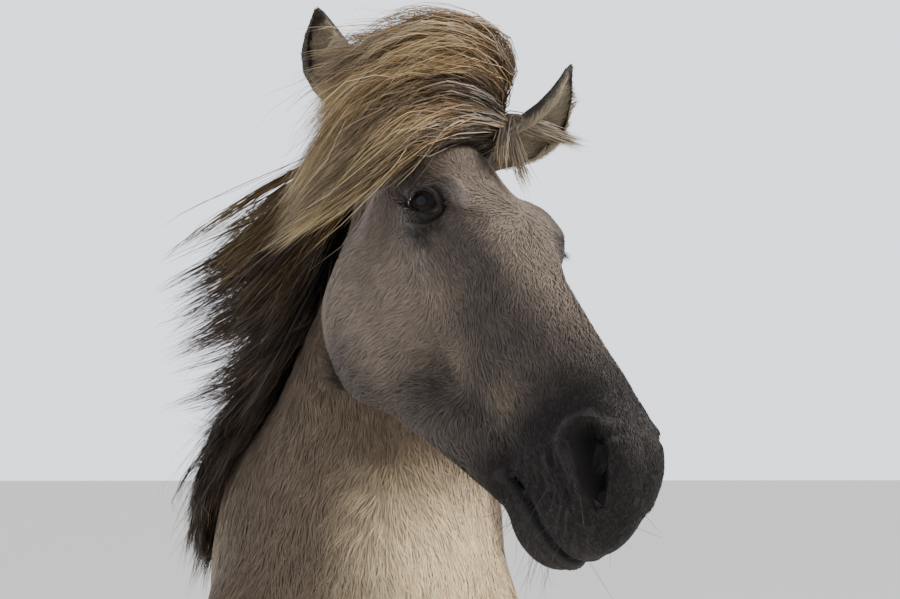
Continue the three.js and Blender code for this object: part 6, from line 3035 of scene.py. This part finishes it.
@dataclass
class Bristles:
    """Lashes, and the long feelers of muzzle, chin and brow."""

    lids: tuple[LidPair, ...]
    seed: int = 83
    rows: int = 8
    upper: int = 130
    lower: int = 34
    lash_tone: Triple = (26, 22, 20)
    feeler_tone: Triple = (86, 75, 63)

    def lashes(self, lid: LidPair, rng: Rng) -> tuple[Array, Array]:
        """Middle lines and widths of one eye's lashes.

        Args:
            lid: the eye's lids.
            rng: seeded draw.

        Returns:
            The lines and the widths.
        """
        angle = np.concatenate([rng.uniform(0.5, 2.75, self.upper), rng.uniform(3.6, 5.9, self.lower)])
        length = np.concatenate([rng.uniform(11, 19, self.upper), rng.uniform(4, 8, self.lower)])
        root, way = lid.lash_roots(angle)
        droop = np.array([0, 0, -1.0]) * length[:, None, None] * 0.35
        t = root_to_tip(self.rows)
        way = unit(way + rng.normal(0, 0.14, way.shape))
        paths = root[:, None] + way[:, None] * length[:, None, None] * t + droop * t**2
        return paths, np.full(len(angle), 0.55)

    def feelers(self, rng: Rng) -> tuple[Array, Array]:
        """Middle lines and widths of the feelers.

        Args:
            rng: seeded draw.

        Returns:
            The lines and the widths.
        """
        spots, lengths = [], []
        for side in (1, -1):
            for _ in range(26):
                a, c = rng.uniform(455, 548), rng.uniform(-205, -96)
                spots.append((a, side * 60.0, c))
                lengths.append(rng.uniform(18, 52))
            for _ in range(8):
                spots.append((rng.uniform(150, 230), side * 130.0, rng.uniform(-80, -66)))
                lengths.append(rng.uniform(22, 48))
        for _ in range(30):
            spots.append((rng.uniform(452, 540), rng.uniform(-26, 26), -230.0))
            lengths.append(rng.uniform(16, 46))
        start = HEAD.out(np.array(spots, float))
        for _ in range(9):
            d = Flesh.head(start, True, False) + 3
            slope = unit(gradient(lambda p: Flesh.head(p, True, False), start, 1.5))
            start = start - slope * np.clip(d, -20, 30)[:, None] * 0.9
        near = np.abs(Flesh.head(start, True, False) + 3) < 2.5
        start, length = start[near], np.array(lengths)[near]
        out = unit(gradient(lambda p: Flesh.head(p, True, False), start, 1.5))
        way = unit(out + rng.normal(0, 0.22, out.shape) + HEAD.turn(np.array([0.35, 0, -0.1])))
        t = root_to_tip(self.rows)
        sag = rng.normal(0, 0.22, way.shape) + np.array([0, 0, -0.22])
        length = length[:, None, None]
        paths = start[:, None] + way[:, None] * length * t + sag[:, None] * length * t**2
        return paths, np.full(len(paths), 0.42)

    def build(self, finish: Material) -> None:
        """Makes one piece of all of them.

        Args:
            finish: its material.
        """
        rng = np.random.default_rng(self.seed)
        parts = [self.lashes(lid, rng) for lid in self.lids]
        lash_count = sum(len(paths) for paths, _ in parts)
        parts.append(self.feelers(rng))
        paths = np.concatenate([paths for paths, _ in parts])
        widths = np.concatenate([width for _, width in parts])
        across = turned_any_way(rng, paths)
        tone = np.empty((len(paths), self.rows, 3))
        tone[:lash_count] = linear(self.lash_tone)
        tone[lash_count:] = linear(self.feeler_tone)
        piece = blades("feelers_and_lashes", paths, across, widths, tone)
        finish_piece(piece, finish, COAT_SLOT)


# The studio


@dataclass(frozen=True)
class Studio:
    """Floor, soft light and the camera at the photograph's viewing angle."""

    eye: Triple = (-0.128, -1.891, 1.258)
    yaw: float = 11.0
    pitch: float = 12.27
    lens: float = 32.8
    sensor: float = 36.0
    floor_half: float = 400.0
    backdrop: Triple = (236, 239, 247)
    backdrop_power: float = 2.1
    sky: Triple = (214, 222, 236)
    sky_power: float = 0.72
    aim: Triple = (0.05, -0.8, 1.4)
    sunbeam: Triple = (-0.8, 0.16, -0.6)

    def camera(self) -> None:
        """Places the camera."""
        data = bpy.data.cameras.new("camera")
        data.lens, data.sensor_width = self.lens, self.sensor
        data.clip_start, data.clip_end = 0.05, 1500.0
        yaw, pitch = math.radians(self.yaw), math.radians(self.pitch)
        gaze = Vector((math.sin(yaw) * math.cos(pitch), math.cos(yaw) * math.cos(pitch), math.sin(pitch)))
        bpy.context.scene.camera = self.hung(data, Vector(self.eye) + Vector(SHIFT), gaze)

    @staticmethod
    def hung(data: bpy.types.ID, place: Vector, gaze: Vector) -> Object:
        """Hangs a camera or a lamp.

        Args:
            data: the camera or lamp.
            place: where it hangs, in metres.
            gaze: the way that it points.

        Returns:
            The object.
        """
        obj = bpy.data.objects.new(data.name, data)
        bpy.context.scene.collection.objects.link(obj)
        obj.location = place
        obj.rotation_euler = gaze.to_track_quat("-Z", "Y").to_euler()
        return obj

    def floor(self) -> None:
        """Lays the floor."""
        bpy.ops.object.select_all(action="DESELECT")
        bpy.ops.mesh.primitive_plane_add(size=2 * self.floor_half)
        floor = bpy.context.object
        floor.name = "floor"
        settle(floor)
        floor.data.materials.append(FloorFinish().material())

    def sky_light(self) -> None:
        """A soft even sky all round, with a brighter backdrop behind the horse."""
        world = bpy.data.worlds.new("sky")
        bpy.context.scene.world = world
        world.use_nodes = True
        nodes, links = world.node_tree.nodes, world.node_tree.links
        soft, bright = nodes["Background"], nodes.new("ShaderNodeBackground")
        shades = (soft, self.sky, self.sky_power), (bright, self.backdrop, self.backdrop_power)
        for back, tone, power in shades:
            back.inputs["Color"].default_value = (*linear(tone), 1.0)
            back.inputs["Strength"].default_value = power
        seen, both = nodes.new("ShaderNodeLightPath"), nodes.new("ShaderNodeMixShader")
        links.new(seen.outputs["Is Camera Ray"], both.inputs["Fac"])
        links.new(soft.outputs["Background"], both.inputs[1])
        links.new(bright.outputs["Background"], both.inputs[2])
        links.new(both.outputs["Shader"], nodes["World Output"].inputs["Surface"])

    def lamp(self, name: str, place: Triple, size: float, power: float, tint: Triple) -> None:
        """Hangs one soft round lamp that points at the head.

        Args:
            name: its name.
            place: where it hangs, in metres.
            size: its width, in metres.
            power: its watts.
            tint: its colour.
        """
        data = bpy.data.lights.new(name, "AREA")
        data.shape, data.size, data.energy, data.color = "DISK", size, power, tint
        self.hung(data, Vector(place), Vector(self.aim) - Vector(place))

    def sun(self) -> None:
        """Hangs the veiled sun, high on the horse's left."""
        data = bpy.data.lights.new("veiled_sun", "SUN")
        data.energy, data.angle, data.color = 4.2, math.radians(24.0), (1.0, 0.95, 0.87)
        self.hung(data, Vector((0.0, 0.0, 0.0)), Vector(self.sunbeam))

    def build(self) -> None:
        """Sets the whole studio up."""
        self.camera()
        self.floor()
        self.sky_light()
        self.sun()
        self.lamp("front_softbox", (-3.4, -3.2, 4.0), 5.0, 80.0, (0.9, 0.95, 1.0))
        self.lamp("rear_softbox", (-2.6, 2.8, 3.2), 2.4, 90.0, (0.95, 0.97, 1.0))


def main() -> None:
    """Builds the horse and its studio, piece by piece."""
    logging.basicConfig(level=logging.INFO, format="%(name)s: %(message)s")
    Studio().build()
    skin = Skin()
    skin.build()
    ears = tuple(EarShell(ear) for ear in EARS)
    lids = tuple(LidPair(side) for side in Side)
    for piece in ears + lids:
        piece.build()
    skin.take_in([piece.obj for piece in ears + lids])
    coat = Coat(skin, ears)
    skin.colour(coat)
    legs = [f"{leg.name}leg_{leg.side.word}" for leg in LEGS]
    flesh = ["torso", "neck", "head", *legs, "tail", *(f"ear_{side.word}" for side in Side)]
    finish_piece(skin.obj, SkinFinish().material(), COAT_SLOT, *flesh)
    wet, horn = EyeFinish().material(), HornFinish().material()
    for side in Side:
        EyeBall(side).build(wet)
    for leg in LEGS:
        Hoof(leg).build(horn)
    coat.build(HairFinish("short_coat", 0.66, 0.2, 0.25, 0.08).material())
    long_hair = HairFinish("long_hair", 0.48, 0.36, 0.3).material()
    for mass in (Mane(), Forelock(), Tail(), Feathers(), Bristles(lids)):
        mass.build(long_hair)


if __name__ == "__main__":
    main()
